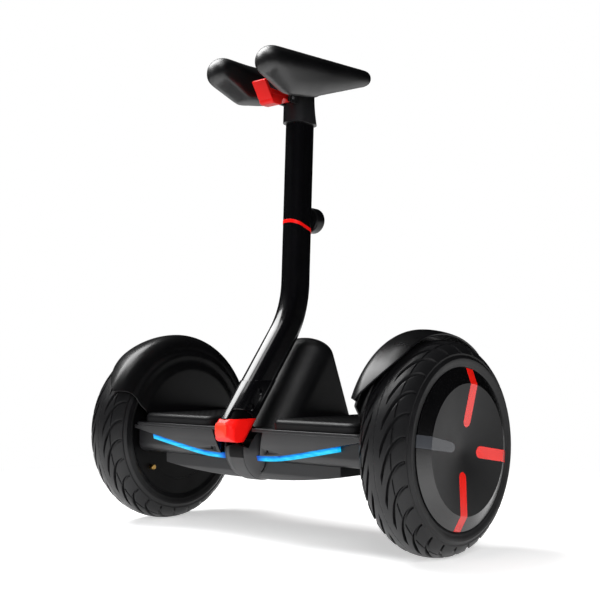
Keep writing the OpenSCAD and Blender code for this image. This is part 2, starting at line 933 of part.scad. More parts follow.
module power_button() {
    color("#9a9ca0") at_button() translate([0, 0, -button_in]) {
        cylinder(h = button_in + button_out, r = button_r);
        cylinder(h = button_rim, r = button_r + button_rim);
    }
}

module charge_port() {
    color("#1a1a1b") difference() {
        union() {
            rod_y(port_r, port_back, port_face, 0, port_z);
            rod_y(port_flange_r, port_face - port_flange_t, port_face, 0, port_z);
            span([-port_lug_out, port_face - port_flange_t, port_z], [port_lug_out, port_face, fascia_top]);
            for (side = [-1, 1]) on_side(side) span(
                [port_lug_x - port_lug_t / 2, port_face - port_knuckle_r, port_z + port_lug_z],
                [port_lug_x + port_lug_t / 2, port_hinge_y + port_knuckle_r, port_hinge_z + port_knuckle_r]);
            rod_x(port_pin_r, -port_pin_hx, port_pin_hx, port_hinge_y, port_hinge_z);
        }
        rod_y(port_bore_r, port_bore_back, far, 0, port_z);
        span([-far, 0, fascia_top - free_gap], [far, port_face + seat_gap / 2, far]);
    }
}

module port_cover() {
    front = port_face + free_gap;
    color("#222224") difference() {
        union() {
            rod_y(port_cover_r, front, front + port_cover_t, 0, port_z);
            span([-port_cover_hx, front, port_z], [port_cover_hx, front + port_cover_t, port_hinge_z]);
            rod_x(port_knuckle_r, -port_cover_hx, port_cover_hx, port_hinge_y, port_hinge_z);
        }
        rod_x(port_pin_r + running_fit, -port_pin_hx, port_pin_hx, port_hinge_y, port_hinge_z);
        span([-far, 0, 0], [far, front, far]);
    }
}

// STEERING BAR

// Straight length of the bar's tube along its frame's Z axis
module bar_tube(from, to, w, d, r, wall) {
    translate([0, 0, from]) linear_extrude(to - from) difference() {
        rounded(w, d, r);
        rounded(w - 2 * wall, d - 2 * wall, r - wall);
    }
}

module steering_shaft() {
    color("silver") rod_y(shaft_r, shaft_front, shaft_back, 0, steer_z);
}

module steering_yoke() {
    w = bar_w - 2 * (bar_wall + plug_fit);
    d = bar_d - 2 * (bar_wall + plug_fit);
    color("#2a2b2d") difference() {
        union() {
            rod_y(yoke_r, yoke_front, yoke_back, 0, steer_z);
            across(-yoke_hx, yoke_hx) polygon([[arm_back, yoke_low], [yoke_front, yoke_low],
                [arm_front, arm_z], [arm_top_y, arm_top_z], [arm_back, arm_z + 2]]);
            on_slope() translate([0, 0, plug_from]) linear_extrude(plug_to - plug_from) rounded(w, d, plug_r);
        }
        rod_y(shaft_r + running_fit, shaft_front - free_gap, yoke_back + 1, 0, steer_z);
        intersection() {
            on_slope() bar_tube(-base_run, base_run, bar_w + 2 * seat_gap, bar_d + 2 * seat_gap,
                bar_r + seat_gap, bar_wall + plug_fit + seat_gap);
            span([-far, -far, cap_top], [far, far, base_seam_z + seat_gap]);
        }
        on_slope() translate([0, 0, plug_floor]) linear_extrude(plug_to)
            rounded(w - 2 * plug_wall, d - 2 * plug_wall, plug_r - plug_wall);
        span([-far, -far, 0], [far, yoke_front, cap_floor + cap_wall + seat_gap]);
        span([-far, -far, 0], [far, cap_nose_y + seat_gap, cap_top + seat_gap]);
    }
}

module base_sleeve() {
    color("#111112") difference() {
        intersection() {
            on_slope() bar_tube(-base_run, base_run, bar_w, bar_d, bar_r, bar_wall + plug_fit);
            span([-far, -far, cap_top + seat_gap], [far, far, base_seam_z]);
        }
        for (side = [-1, 1]) on_side(side) rod_x(arch_r, arch_in, far, arch_y, arch_z);
    }
}

module lower_bar() {
    wall = bar_wall + slide_gap;
    color("#111112") {
        difference() {
            on_slope() bar_tube(0, slope_len + weld, bar_w, bar_d, bar_r, wall);
            span([-far, -far, 0], [far, far, base_seam_z + seat_gap]);
        }
        translate([0, bend_y, bend_z]) rotate([90, 0, 90]) rotate([0, 0, slope_tilt])
            rotate_extrude(angle = bend_turn) translate([bend_r, 0]) difference() {
                rounded(bar_d + 2 * swell, bar_w + 2 * swell, bar_r + swell);
                rounded(tube_d - 2 * swell, tube_w - 2 * swell, tube_r - swell);
            }
        on_upright() intersection() {
            bar_tube(-weld, 2 * seam_s, bar_w, bar_d, bar_r, wall);
            below_seam(seam_s);
        }
    }
}

module inner_tube() {
    color("#7c7e82") on_upright() bar_tube(tube_from, tube_to, tube_w, tube_d, tube_r, tube_wall);
}

module seam_ring() {
    color("#e8202a") on_upright() difference() {
        intersection() {
            bar_tube(0, 2 * seam_s, bar_w, bar_d, bar_r, bar_wall + slide_gap);
            below_seam(seam_s + seam_t);
        }
        below_seam(seam_s);
    }
}

// Side outline of the bar's red end cap below its top, grown or drawn in, as (y, z)
module cap_outline(grow) {
    low = cap_floor - grow;
    turns = [for (i = [0:cap_steps]) 90 + i * 180 / cap_steps];
    polygon(concat([for (a = turns) [cap_nose_y, cap_nose_z] + (cap_nose_r + grow) * [cos(a), sin(a)]],
        [[cap_heel_y, low], [cap_heel_y + 2 * cap_heel, low + cap_heel], [cap_nose_y + far, far],
        [cap_nose_y, far]]));
}

// Solid of the cap: its sides run on from the bar, and its front is round in plan too
module cap_form(grow) {
    hx = cap_hx + grow;
    front = cap_nose_y - cap_nose_r - grow;
    intersection() {
        across(-far, far) cap_outline(grow);
        on_slope() linear_extrude(far, center = true)
            rounded(2 * hx, bar_d + 2 * (cap_lip + grow), bar_r + cap_lip + grow);
        linear_extrude(far) translate([0, front + far / 2]) rounded(2 * hx + 1, far, cap_round + grow);
    }
}

module red_cap() {
    color("#e8202a") difference() {
        cap_form(0);
        cap_form(-cap_wall);
        span([-far, -far, cap_top], [far, far, 2 * far]);
        span([-yoke_hx - free_gap, cap_heel_y, cap_floor + cap_wall],
            [yoke_hx + free_gap, arm_back, cap_door_z]);
    }
}

module cap_plug() {
    color("#f0463c") difference() {
        intersection() {
            cap_form(cap_plug_out);
            through(-far, cap_nose_y) translate([0, cap_nose_z]) rounded(cap_plug_w, cap_plug_h, cap_plug_r);
        }
        cap_form(0);
    }
}

// PADDED HEAD

module upper_bar() {
    color("#111112") on_upright() difference() {
        union() {
            linear_extrude(sleeve_top) rounded(bar_w, bar_d, bar_r);
            translate([0, knob_from - free_gap, knob_s]) rotate([90, 0, 0])
                cylinder(h = bar_d / 4, r = knob_boss_r);
        }
        translate([0, 0, -1]) linear_extrude(sleeve_top + 2)
            rounded(bar_w - 2 * bar_wall, bar_d - 2 * bar_wall, bar_r - bar_wall);
        below_seam(sleeve_s);
        translate([0, bar_d, knob_s]) rotate([90, 0, 0])
            cylinder(h = bar_d, r = knob_stem_r + running_fit);
    }
}

module pad_bracket() {
    color("#2a2b2d") on_upright() difference() {
        union() {
            translate([0, 0, collar_s]) linear_extrude(head_s - collar_s + 1)
                rounded(bar_w + 2 * collar_t, bar_d + 2 * collar_t, bar_r + collar_t);
            span([-head_hx, head_from, head_s], [head_hx, head_to, head_top]);
            for (side = [-1, 1]) on_side(side) span([lug_x - lug_t / 2, lever_y - lug_r, lever_s - lug_r],
                [lug_x + lug_t / 2, -bar_d / 2, head_s + 1]);
        }
        translate([0, 0, collar_s - 1]) linear_extrude(sleeve_top - collar_s + 1)
            rounded(bar_w, bar_d, bar_r);
        span([-lever_hx - free_gap, -far, 0],
            [lever_hx + free_gap, -bar_d / 2 - collar_t - free_gap, head_top + 1]);
        translate([0, lever_y, lever_s]) rotate([0, 90, 0]) cylinder(h = far, r = pin_r, center = true);
    }
}

module lever_pin() {
    color("silver") on_upright() translate([0, lever_y, lever_s]) rotate([0, 90, 0])
        cylinder(h = pin_len, r = pin_r, center = true);
}

module release_lever() {
    color("#e8202a") on_upright() difference() {
        union() {
            translate([0, lever_y, lever_s]) rotate([0, 90, 0])
                cylinder(h = 2 * lever_hx, r = lever_r, center = true);
            across(-lever_hx, lever_hx) polygon([[lever_y, lever_s + lever_r], [paddle_y, lever_s + lever_r],
                [paddle_y, lever_s], [lever_y, lever_s - lever_r]]);
            across(-paddle_hx, paddle_hx) translate([paddle_y, lever_s + paddle_s]) rotate(paddle_tilt)
                square([paddle_t, paddle_h], center = true);
        }
        translate([0, lever_y, lever_s]) rotate([0, 90, 0])
            cylinder(h = far, r = pin_r + running_fit, center = true);
    }
}

// Cushion with a full front end that tapers and turns out towards the back
module knee_pad(side) {
    color("#19191b") on_side(side) difference() {
        hull() {
            translate(pad_front) sphere(pad_front_r, $fn = blend_fn);
            translate(pad_low) sphere(pad_low_r, $fn = blend_fn);
            translate(pad_mid) sphere(pad_mid_r, $fn = blend_fn);
            translate(pad_tail) sphere(pad_tail_r, $fn = blend_fn);
        }
        span([-far, -far, 0], [head_hx, far, 2 * far]);
    }
}

module height_knob() {
    color("#151516") on_upright() translate([0, 0, knob_s]) rotate([-90, 0, 0]) {
        translate([0, 0, tube_d / 2 + free_gap]) cylinder(h = knob_from - tube_d / 2, r = knob_stem_r);
        translate([0, 0, knob_from]) rotate_extrude() difference() {
            union() {
                square([knob_r - knob_face_r, knob_len]);
                translate([0, knob_back_r]) square([knob_r, knob_len - knob_face_r - knob_back_r]);
                translate([knob_r - knob_face_r, knob_len - knob_face_r]) circle(knob_face_r);
                translate([knob_r - knob_back_r, knob_back_r]) circle(knob_back_r);
            }
            translate([-far, -far]) square([far, 2 * far]);
        }
    }
}

chassis_frame();
lower_shell();
deck();
front_fascia();
rear_fascia();
nose_cover();
nose_band();
centre_console();
battery_pack();
battery_housing();
controller_board();
footpad(-1);  // footpad_left
footpad(1);  // footpad_right
foot_sensors();
fender(-1);  // fender_left
fender(1);  // fender_right
on_side(-1) strip_bar();  // light_strip_left
on_side(1) strip_bar();  // light_strip_right
tail_lights();
axle(-1);  // axle_left
axle(1);  // axle_right
axle_clamps();
motor_stators();
steering_bearings();
charge_port();
power_button();
port_cover();
tyre(-1);  // tyre_left
rim(-1);  // rim_left
rotor_magnets(-1);  // rotor_magnets_left
motor_cover(-1);  // motor_cover_left
hub_cover(-1);  // hub_cover_left
red_inserts(-1);  // red_inserts_left
smoke_insert(-1);  // smoke_insert_left
wheel_bearings(-1);  // wheel_bearings_left
valve_stem(-1);  // valve_stem_left
tyre(1);  // tyre_right
rim(1);  // rim_right
rotor_magnets(1);  // rotor_magnets_right
motor_cover(1);  // motor_cover_right
hub_cover(1);  // hub_cover_right
red_inserts(1);  // red_inserts_right
smoke_insert(1);  // smoke_insert_right
wheel_bearings(1);  // wheel_bearings_right
valve_stem(1);  // valve_stem_right
steering_shaft();
steering_yoke();
base_sleeve();
lower_bar();
inner_tube();
seam_ring();
red_cap();
cap_plug();
upper_bar();
pad_bracket();
lever_pin();
knee_pad(-1);  // knee_pad_left
knee_pad(1);  // knee_pad_right
height_knob();
release_lever();
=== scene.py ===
"""Looks of a two-wheeled self-balancing scooter that is steered with a padded bar between the rider's knees.

Lengths are in metres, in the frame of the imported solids: +X is the scooter's right, -Y its front and +Z up.
"""

import json
import logging
import math
from abc import ABC, abstractmethod
from contextlib import contextmanager
from dataclasses import dataclass, field
from enum import Enum
from typing import Callable, Iterator, Sequence

import bmesh
import bpy
import numpy as np
from mathutils import Matrix, Vector


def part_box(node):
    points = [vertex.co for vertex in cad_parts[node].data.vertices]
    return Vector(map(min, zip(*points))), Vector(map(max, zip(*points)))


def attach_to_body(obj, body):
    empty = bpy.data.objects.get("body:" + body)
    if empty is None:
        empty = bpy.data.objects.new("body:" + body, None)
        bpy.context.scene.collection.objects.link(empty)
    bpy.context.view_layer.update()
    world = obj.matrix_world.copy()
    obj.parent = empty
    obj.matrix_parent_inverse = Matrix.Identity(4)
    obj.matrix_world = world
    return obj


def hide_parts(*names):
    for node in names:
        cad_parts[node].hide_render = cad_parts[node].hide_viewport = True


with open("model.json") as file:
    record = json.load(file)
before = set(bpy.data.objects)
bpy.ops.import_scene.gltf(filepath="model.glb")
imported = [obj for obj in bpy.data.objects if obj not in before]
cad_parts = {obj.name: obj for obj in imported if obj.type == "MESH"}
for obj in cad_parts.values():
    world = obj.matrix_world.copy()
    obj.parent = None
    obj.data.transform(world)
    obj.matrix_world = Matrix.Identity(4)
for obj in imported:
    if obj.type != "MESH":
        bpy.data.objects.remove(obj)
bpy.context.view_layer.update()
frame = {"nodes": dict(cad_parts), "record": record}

LOG = logging.getLogger("scooter")
MM = 0.001
X = Vector((1, 0, 0))
Y = Vector((0, 1, 0))
Z = Vector((0, 0, 1))

Colour = tuple[float, float, float]
Triple = tuple[float, float, float]
Point = tuple[float, float]
Place = Callable[[float, float], Vector]
Piece = bpy.types.Object
Socket = bpy.types.NodeSocket
FaceTest = Callable[[bmesh.types.BMFace], bool]

BODY_OF = {node: body for body, nodes in frame["record"]["behaviour"]["bodies"].items() for node in nodes}
SLOT_OF = {part["node"]: part["material_slot"] for part in frame["record"]["subparts"]}


class Side(Enum):
    """One of the scooter's two sides."""

    LEFT = -1
    RIGHT = 1

    def of(self, stem: str) -> str:
        """Names this side's copy of a node or piece."""
        return f"{stem}_{self.name.lower()}"


def clamp(value: float) -> float:
    """Limits a value to the range from 0 to 1."""
    return min(1.0, max(0.0, value))


def shade_of(colour: Colour, factor: float) -> Colour:
    """Makes a colour lighter or darker by a factor."""
    return tuple(min(1.0, part * factor) for part in colour)


class ShaderTree:
    """A new material's node tree, with short ways to add nodes to it."""

    def __init__(self, name: str) -> None:
        """Makes the material with its surface shader and the object's coordinates."""
        self.material = bpy.data.materials.new(name)
        self.material.use_nodes = True
        self.tree = self.material.node_tree
        self.surface = self.tree.nodes["Principled BSDF"]
        self.place = self.add("ShaderNodeTexCoord").outputs["Object"]

    def add(self, kind: str, **values: object) -> bpy.types.Node:
        """Adds a node.

        Args:
            kind: Blender's name of the node type.
            **values: Properties of the node to set.

        Returns:
            The new node.
        """
        node = self.tree.nodes.new(kind)
        for name, value in values.items():
            setattr(node, name, value)
        return node

    def join(self, source: Socket, target: Socket) -> None:
        """Links an output to an input."""
        self.tree.links.new(source, target)

    def feed(self, name: str, value: Socket) -> None:
        """Links a value to an input of the surface shader."""
        self.join(value, self.surface.inputs[name])

    def set(self, **values: object) -> None:
        """Sets constants on the surface shader; underscores in the names stand for spaces."""
        for name, value in values.items():
            self.surface.inputs[name.replace("_", " ")].default_value = value

    def stretched(self, scale: Triple) -> Socket:
        """Scales the object's coordinates by a factor for each axis."""
        node = self.add("ShaderNodeMapping")
        node.inputs["Scale"].default_value = scale
        self.join(self.place, node.inputs["Vector"])
        return node.outputs["Vector"]

    def noise(self, scale: float, detail: float = 3.0, place: Socket | None = None) -> Socket:
        """Adds a noise texture.

        Args:
            scale: Cells for each metre.
            detail: Octaves of finer noise.
            place: Coordinates to use; the object's own when left out.

        Returns:
            The noise's value.
        """
        node = self.add("ShaderNodeTexNoise")
        node.inputs["Scale"].default_value = scale
        node.inputs["Detail"].default_value = detail
        self.join(place or self.place, node.inputs["Vector"])
        return node.outputs["Fac"]

    def cells(self, scale: float) -> Socket:
        """Adds a cell texture and returns its distance value."""
        node = self.add("ShaderNodeTexVoronoi")
        node.inputs["Scale"].default_value = scale
        self.join(self.place, node.inputs["Vector"])
        return node.outputs["Distance"]

    def calc(self, kind: str, a: Socket, b: Socket | float = 0.0) -> Socket:
        """Adds a math node on two values and returns its result."""
        node = self.add("ShaderNodeMath", operation=kind)
        self.join(a, node.inputs[0])
        if isinstance(b, float):
            node.inputs[1].default_value = b
        else:
            self.join(b, node.inputs[1])
        return node.outputs["Value"]

    def spread(self, value: Socket, low: float, high: float, start: float = 0.3, end: float = 0.7) -> Socket:
        """Maps a value from start..end to low..high and clamps it."""
        node = self.add("ShaderNodeMapRange")
        self.join(value, node.inputs["Value"])
        for name, number in (("From Min", start), ("From Max", end), ("To Min", low), ("To Max", high)):
            node.inputs[name].default_value = number
        return node.outputs["Result"]

    def tint(self, value: Socket, stops: Sequence[tuple[float, Colour]]) -> Socket:
        """Maps a value to colours.

        Args:
            value: The value to map.
            stops: Places on the ramp and their colours.

        Returns:
            The colour.
        """
        node = self.add("ShaderNodeValToRGB")
        elements = node.color_ramp.elements
        while len(elements) < len(stops):
            elements.new(1.0)
        for element, (at, colour) in zip(elements, stops):
            element.position = at
            element.color = (*colour, 1.0)
        self.join(value, node.inputs["Fac"])
        return node.outputs["Color"]

    def relief(self, height: Socket, strength: float, depth: float, socket: str = "Normal") -> None:
        """Bumps one of the surface shader's normals by a height value."""
        node = self.add("ShaderNodeBump")
        node.inputs["Strength"].default_value = strength
        node.inputs["Distance"].default_value = depth
        self.join(height, node.inputs["Height"])
        self.feed(socket, node.outputs["Normal"])


@dataclass(frozen=True)
class Finish(ABC):
    """A surface finish.

    Attributes:
        name: Name of the material.
        colour: Base colour, linear.
        roughness: Mean roughness.
    """

    name: str
    colour: Colour
    roughness: float

    @abstractmethod
    def shade(self, tree: ShaderTree) -> None:
        """Adds the finish's nodes to a new material."""

    def material(self) -> bpy.types.Material:
        """Returns the finish's material, made on first use."""
        name = f"{self.name}_finish"
        known = bpy.data.materials.get(name)
        if known:
            return known
        tree = ShaderTree(name)
        self.shade(tree)
        return tree.material

    def roughen(self, tree: ShaderTree, scale: float, share: float) -> None:
        """Varies the roughness by a share, in cells of a scale."""
        low, high = self.roughness * (1 - share), self.roughness * (1 + share)
        tree.feed("Roughness", tree.spread(tree.noise(scale), low, high))

    def mottle(self, tree: ShaderTree, scale: float, colour_range: float, rough_range: float) -> None:
        """Varies colour and roughness a little over the surface.

        Args:
            tree: The material's nodes.
            scale: Cells of the variation for each metre.
            colour_range: Share by which the colour varies.
            rough_range: Share by which the roughness varies.
        """
        dark, light = shade_of(self.colour, 1 - colour_range), shade_of(self.colour, 1 + colour_range)
        tree.feed("Base Color", tree.tint(tree.noise(scale), ((0.3, dark), (0.7, light))))
        self.roughen(tree, scale * 2.3, rough_range)


@dataclass(frozen=True)
class Moulding(Finish):
    """Injection-moulded plastic with a fine grain.

    Attributes:
        specular: Specular level.
        grain: Cells of the grain for each metre.
        depth: Depth of the grain.
    """

    specular: float = 0.45
    grain: float = 1500.0
    depth: float = 0.015 * MM

    def shade(self, tree: ShaderTree) -> None:
        """Adds mottled colour, roughness and grain."""
        self.mottle(tree, scale=16, colour_range=0.12, rough_range=0.1)
        tree.set(Specular_IOR_Level=self.specular)
        tree.relief(tree.noise(self.grain, detail=2), strength=0.5, depth=self.depth)


@dataclass(frozen=True)
class Lacquer(Finish):
    """Glossy paint with a clear coat and a trace of orange peel.

    Attributes:
        coat: Weight of the clear coat.
        peel: Depth of the orange peel.
    """

    coat: float = 0.8
    peel: float = 0.01 * MM

    def shade(self, tree: ShaderTree) -> None:
        """Adds mottled colour, roughness and a peeled coat."""
        self.mottle(tree, scale=22, colour_range=0.1, rough_range=0.1)
        tree.set(Specular_IOR_Level=0.25, Coat_Weight=self.coat, Coat_Roughness=0.06)
        tree.relief(tree.noise(scale=420, detail=1), strength=0.4, depth=self.peel, socket="Coat Normal")


@dataclass(frozen=True)
class Rubber(Finish):
    """Matt rubber with a dusty bloom.

    Attributes:
        bloom: How much lighter the bloom is.
        specular: Specular level.
    """

    bloom: float = 1.35
    specular: float = 0.3

    def shade(self, tree: ShaderTree) -> None:
        """Adds the bloom, the roughness and a fine grain."""
        dusty = shade_of(self.colour, self.bloom)
        patches = tree.noise(scale=30, detail=5)
        tree.feed("Base Color", tree.tint(patches, ((0.35, self.colour), (0.75, dusty))))
        self.roughen(tree, scale=55, share=0.1)
        tree.set(Specular_IOR_Level=self.specular)
        tree.relief(tree.noise(scale=1900, detail=2), strength=0.4, depth=0.03 * MM)


@dataclass(frozen=True)
class Metal(Finish):
    """Machined, cast or plated metal.

    Attributes:
        lines: Cells of the tool marks for each metre along X, Y and Z.
        depth: Depth of the tool marks.
    """

    lines: Triple = (900.0, 900.0, 900.0)
    depth: float = 0.01 * MM

    def shade(self, tree: ShaderTree) -> None:
        """Adds mottled colour and tool marks."""
        self.mottle(tree, scale=40, colour_range=0.08, rough_range=0.15)
        tree.set(Metallic=1.0)
        marks = tree.noise(scale=1.0, detail=2, place=tree.stretched(self.lines))
        tree.relief(marks, strength=0.4, depth=self.depth)


@dataclass(frozen=True)
class PadSkin(Finish):
    """Skin of a moulded foam pad with a fine pebbled grain."""

    def shade(self, tree: ShaderTree) -> None:
        """Adds mottled colour, roughness and pebbles."""
        self.mottle(tree, scale=12, colour_range=0.12, rough_range=0.12)
        tree.set(Specular_IOR_Level=0.85)
        tree.relief(tree.cells(scale=950), strength=0.2, depth=0.02 * MM)


@dataclass(frozen=True)
class LightGuide(Finish):
    """Lit guide, deeper in colour along its upper edge and towards its ends.

    Attributes:
        deep: Colour of the ends and the upper edge.
        middle: Colour of most of the guide.
        bright: Colour of its brightest part.
        glint: Colour of the streaks.
        inner: Distance from the scooter's middle to the inner end.
        inner_fade: Length over which the inner end brightens.
        outer: Distance from the scooter's middle to the outer end.
        outer_fade: Length over which the outer end darkens.
        outer_share: Share of the light that is left at the outer end.
        level: Height of the guide's flat part.
        knee: Distance from the scooter's middle at which the guide starts to rise.
        rise: Rise for each metre beyond the knee.
        height: Height of the guide.
        top_share: Share of the light that is left in the guide's upper half.
        fill: Place of the plain light on the colour ramp.
        streaks: Least and most that a streak adds to that place.
        streak_cells: Cells of the streaks for each metre along X, Y and Z.
        strength: Strength of the light.
    """

    deep: Colour = (0.001, 0.04, 0.4)
    middle: Colour = (0.0015, 0.3, 0.85)
    bright: Colour = (0.006, 0.56, 0.94)
    glint: Colour = (0.05, 0.8, 0.98)
    inner: float = 27 * MM
    inner_fade: float = 17 * MM
    outer: float = 163 * MM
    outer_fade: float = 30 * MM
    outer_share: float = 0.85
    level: float = 108 * MM
    knee: float = 58 * MM
    rise: float = 0.185
    height: float = 6.4 * MM
    top_share: float = 0.3
    fill: float = 0.84
    streaks: Point = (-0.22, 0.26)
    streak_cells: Triple = (70.0, 60.0, 520.0)
    strength: float = 0.95

    def shade(self, tree: ShaderTree) -> None:
        """Adds the gradients, streaks and light."""
        split = tree.add("ShaderNodeSeparateXYZ")
        tree.join(tree.place, split.inputs["Vector"])
        away = tree.calc("ABSOLUTE", split.outputs["X"])
        past = tree.calc("MAXIMUM", tree.calc("SUBTRACT", away, self.knee), 0.0)
        line = tree.calc("ADD", tree.calc("MULTIPLY", past, self.rise), self.level)
        above = tree.calc("SUBTRACT", split.outputs["Z"], line)
        low_part = tree.spread(above, 1.0, self.top_share, 0.0, self.height / 2)
        start = tree.spread(away, 0.0, 1.0, self.inner, self.inner + self.inner_fade)
        end = tree.spread(away, 1.0, self.outer_share, self.outer - self.outer_fade, self.outer)
        glow = tree.calc("MULTIPLY", tree.calc("MULTIPLY", start, end), low_part)
        glow = tree.calc("MULTIPLY", glow, self.fill)
        streak = tree.spread(tree.noise(1.0, place=tree.stretched(self.streak_cells)), *self.streaks)
        mixed = tree.calc("ADD", glow, tree.calc("MULTIPLY", streak, start))
        stops = ((0.0, self.deep), (0.4, self.middle), (0.72, self.bright), (1.0, self.glint))
        tree.feed("Emission Color", tree.tint(mixed, stops))
        self.roughen(tree, scale=40, share=0.1)
        tree.set(Emission_Strength=self.strength, Specular_IOR_Level=0.1)
        tree.set(Base_Color=(*shade_of(self.deep, 0.2), 1))


BODY = Moulding("satin_body_plastic", (0.01, 0.01, 0.011), 0.36)
SHELL = Moulding("fine_shell_plastic", (0.003, 0.003, 0.0033), 0.3, specular=0.32, depth=0.003 * MM)
SOFT = Moulding("console_plastic", (0.004, 0.004, 0.0044), 0.42, specular=0.22, depth=0.006 * MM)
COVER = Moulding("satin_cover_plastic", (0.003, 0.003, 0.0033), 0.24, specular=0.9, depth=0.005 * MM)
DISH = Moulding("dish_plastic", (0.005, 0.005, 0.0055), 0.34, specular=0.26, depth=0.003 * MM)
GLOSS = Lacquer("gloss_black", (0.002, 0.002, 0.0022), 0.15, coat=0.6)
GREY = Moulding("grey_plastic", (0.16, 0.16, 0.165), 0.4)
BAR = Lacquer("bar_lacquer", (0.0025, 0.0025, 0.003), 0.24, coat=0.7)
PAD = Rubber("footpad_rubber", (0.004, 0.004, 0.0044), 0.42, specular=0.22)
TYRE = Rubber("tyre_rubber", (0.0055, 0.0055, 0.006), 0.42, specular=0.36)
FOAM = PadSkin("pad_skin", (0.003, 0.003, 0.0034), 0.4)
RED = Moulding("red_plastic", (0.98, 0.008, 0.006), 0.34, specular=0.3)
INLAY = Moulding("inlaid_red", (0.95, 0.014, 0.008), 0.2, specular=0.9, depth=0.005 * MM)
# Lighter, more orange red than the cap's: partly the plug's own rubber, partly painted light for its front
# face catching more light than the cap.
PLUG = Moulding("red_plug_rubber", (0.95, 0.045, 0.02), 0.42, specular=0.4)
SMOKE = Moulding("smoked_plastic", (0.048, 0.051, 0.058), 0.2, specular=0.4, depth=0.003 * MM)
STEEL = Metal("bright_steel", (0.62, 0.62, 0.64), 0.25)
CAST = Metal("cast_aluminium", (0.2, 0.2, 0.21), 0.5, depth=0.05 * MM)
DARK = Moulding("black_anodised", (0.002, 0.002, 0.0022), 0.42, specular=0.1)
BARE = Metal("bare_aluminium", (0.66, 0.66, 0.67), 0.32, lines=(1200.0, 1200.0, 60.0))
BRASS = Metal("valve_brass", (0.42, 0.26, 0.08), 0.35)
BOARD = Moulding("circuit_board", (0.01, 0.09, 0.03), 0.45)
CASE = Moulding("battery_case", (0.04, 0.05, 0.09), 0.5)
BLUE_LIGHT = LightGuide("blue_light", (0.1, 0.5, 0.9), 0.25)
RED_LIGHT = LightGuide(
    "red_light", (0.8, 0.02, 0.02), 0.25, deep=(0.25, 0.002, 0.002), middle=(0.45, 0.006, 0.005),
    bright=(0.7, 0.012, 0.01), glint=(0.9, 0.05, 0.04), strength=0.5,
)

BY_SLOT: dict[str, Finish] = {
    "cast_aluminium": CAST, "dark_aluminium": DARK, "bare_aluminium": BARE, "bar_black": BAR, "steel": STEEL,
    "valve_brass": BRASS, "tyre": TYRE, "pad_rubber": PAD, "body_plastic": BODY, "shell_plastic": SHELL,
    "cover_plastic": COVER, "gloss_black": GLOSS, "grey_plastic": GREY, "battery_case": CASE,
    "circuit_board": BOARD, "red_plastic": RED, "red_plug": PLUG, "smoke_plastic": SMOKE, "pad_foam": FOAM,
    "blue_light": BLUE_LIGHT, "red_light": RED_LIGHT,
}


def select_only(obj: Piece) -> None:
    """Selects one object and makes it the active one."""
    bpy.ops.object.select_all(action="DESELECT")
    obj.select_set(True)
    bpy.context.view_layer.objects.active = obj


def added(operator: Callable[..., set[str]], name: str, **settings: object) -> Piece:
    """Adds an object with one of Blender's operators.

    Args:
        operator: The operator that adds it.
        name: Name of the object and its data.
        **settings: The operator's settings.

    Returns:
        The new object, alone in the selection.
    """
    bpy.ops.object.select_all(action="DESELECT")
    operator(**settings)
    obj = bpy.context.active_object
    obj.name = obj.data.name = name
    return obj


@contextmanager
def editing(obj: Piece) -> Iterator[None]:
    """Holds an object in edit mode with all its faces selected."""
    select_only(obj)
    bpy.ops.object.mode_set(mode="EDIT")
    bpy.ops.mesh.select_mode(type="FACE")
    bpy.ops.mesh.select_all(action="SELECT")
    yield
    bpy.ops.object.mode_set(mode="OBJECT")


@contextmanager
def editing_edges(obj: Piece) -> Iterator[None]:
    """Holds an object in edit mode with all its edges selected."""
    with editing(obj):
        bpy.ops.mesh.select_mode(type="EDGE")
        bpy.ops.mesh.select_all(action="SELECT")
        yield


def choose(obj: Piece, test: FaceTest) -> None:
    """Selects, in edit mode, the faces that pass a test."""
    bpy.ops.mesh.select_all(action="DESELECT")
    mesh = bmesh.from_edit_mesh(obj.data)
    for face in mesh.faces:
        face.select_set(test(face))
    bmesh.update_edit_mesh(obj.data)


def close_up(obj: Piece, gap: float = 0.001 * MM) -> None:
    """Merges an object's doubled vertices and turns its normals outwards."""
    with editing(obj):
        bpy.ops.mesh.remove_doubles(threshold=gap)
        bpy.ops.mesh.normals_make_consistent(inside=False)


def modify(obj: Piece, kind: str, **settings: object) -> Piece:
    """Adds a modifier and applies it.

    Args:
        obj: The object to change.
        kind: Blender's name of the modifier type.
        **settings: Properties of the modifier.

    Returns:
        The same object.
    """
    select_only(obj)
    modifier = obj.modifiers.new(kind.lower(), kind)
    for name, value in settings.items():
        setattr(modifier, name, value)
    bpy.ops.object.modifier_apply(modifier=modifier.name)
    return obj


def smooth(obj: Piece, degrees: float = 35.0) -> Piece:
    """Shades an object smooth except over edges sharper than an angle."""
    select_only(obj)
    bpy.ops.object.shade_smooth_by_angle(angle=math.radians(degrees))
    return obj


def bevel(obj: Piece, width: float, degrees: float) -> Piece:
    """Rounds an object's edges that are sharper than an angle."""
    limit = math.radians(degrees)
    return modify(obj, "BEVEL", width=width, segments=3, limit_method="ANGLE", angle_limit=limit)


def round_edges(obj: Piece, width: float, degrees: float = 30.0) -> Piece:
    """Rounds an object's sharp edges and weights its normals by face.

    Args:
        obj: The object to change.
        width: Width of the rounding.
        degrees: Edges sharper than this are rounded.

    Returns:
        The same object.
    """
    smooth(bevel(obj, width, degrees), 40)
    return modify(obj, "WEIGHTED_NORMAL", keep_sharp=True)


def join(name: str, pieces: Sequence[Piece]) -> Piece:
    """Joins several objects into one and names it."""
    select_only(pieces[0])
    for piece in pieces[1:]:
        piece.select_set(True)
    bpy.ops.object.join()
    pieces[0].name = pieces[0].data.name = name
    return pieces[0]


def node_copy(node: str, name: str) -> Piece:
    """Copies a node of the frame as a merged mesh in its place."""
    source = frame["nodes"][node]
    mesh = source.data.copy()
    mesh.transform(source.matrix_world)
    obj = bpy.data.objects.new(name, mesh)
    bpy.context.collection.objects.link(obj)
    close_up(obj, 0.004 * MM)
    return obj


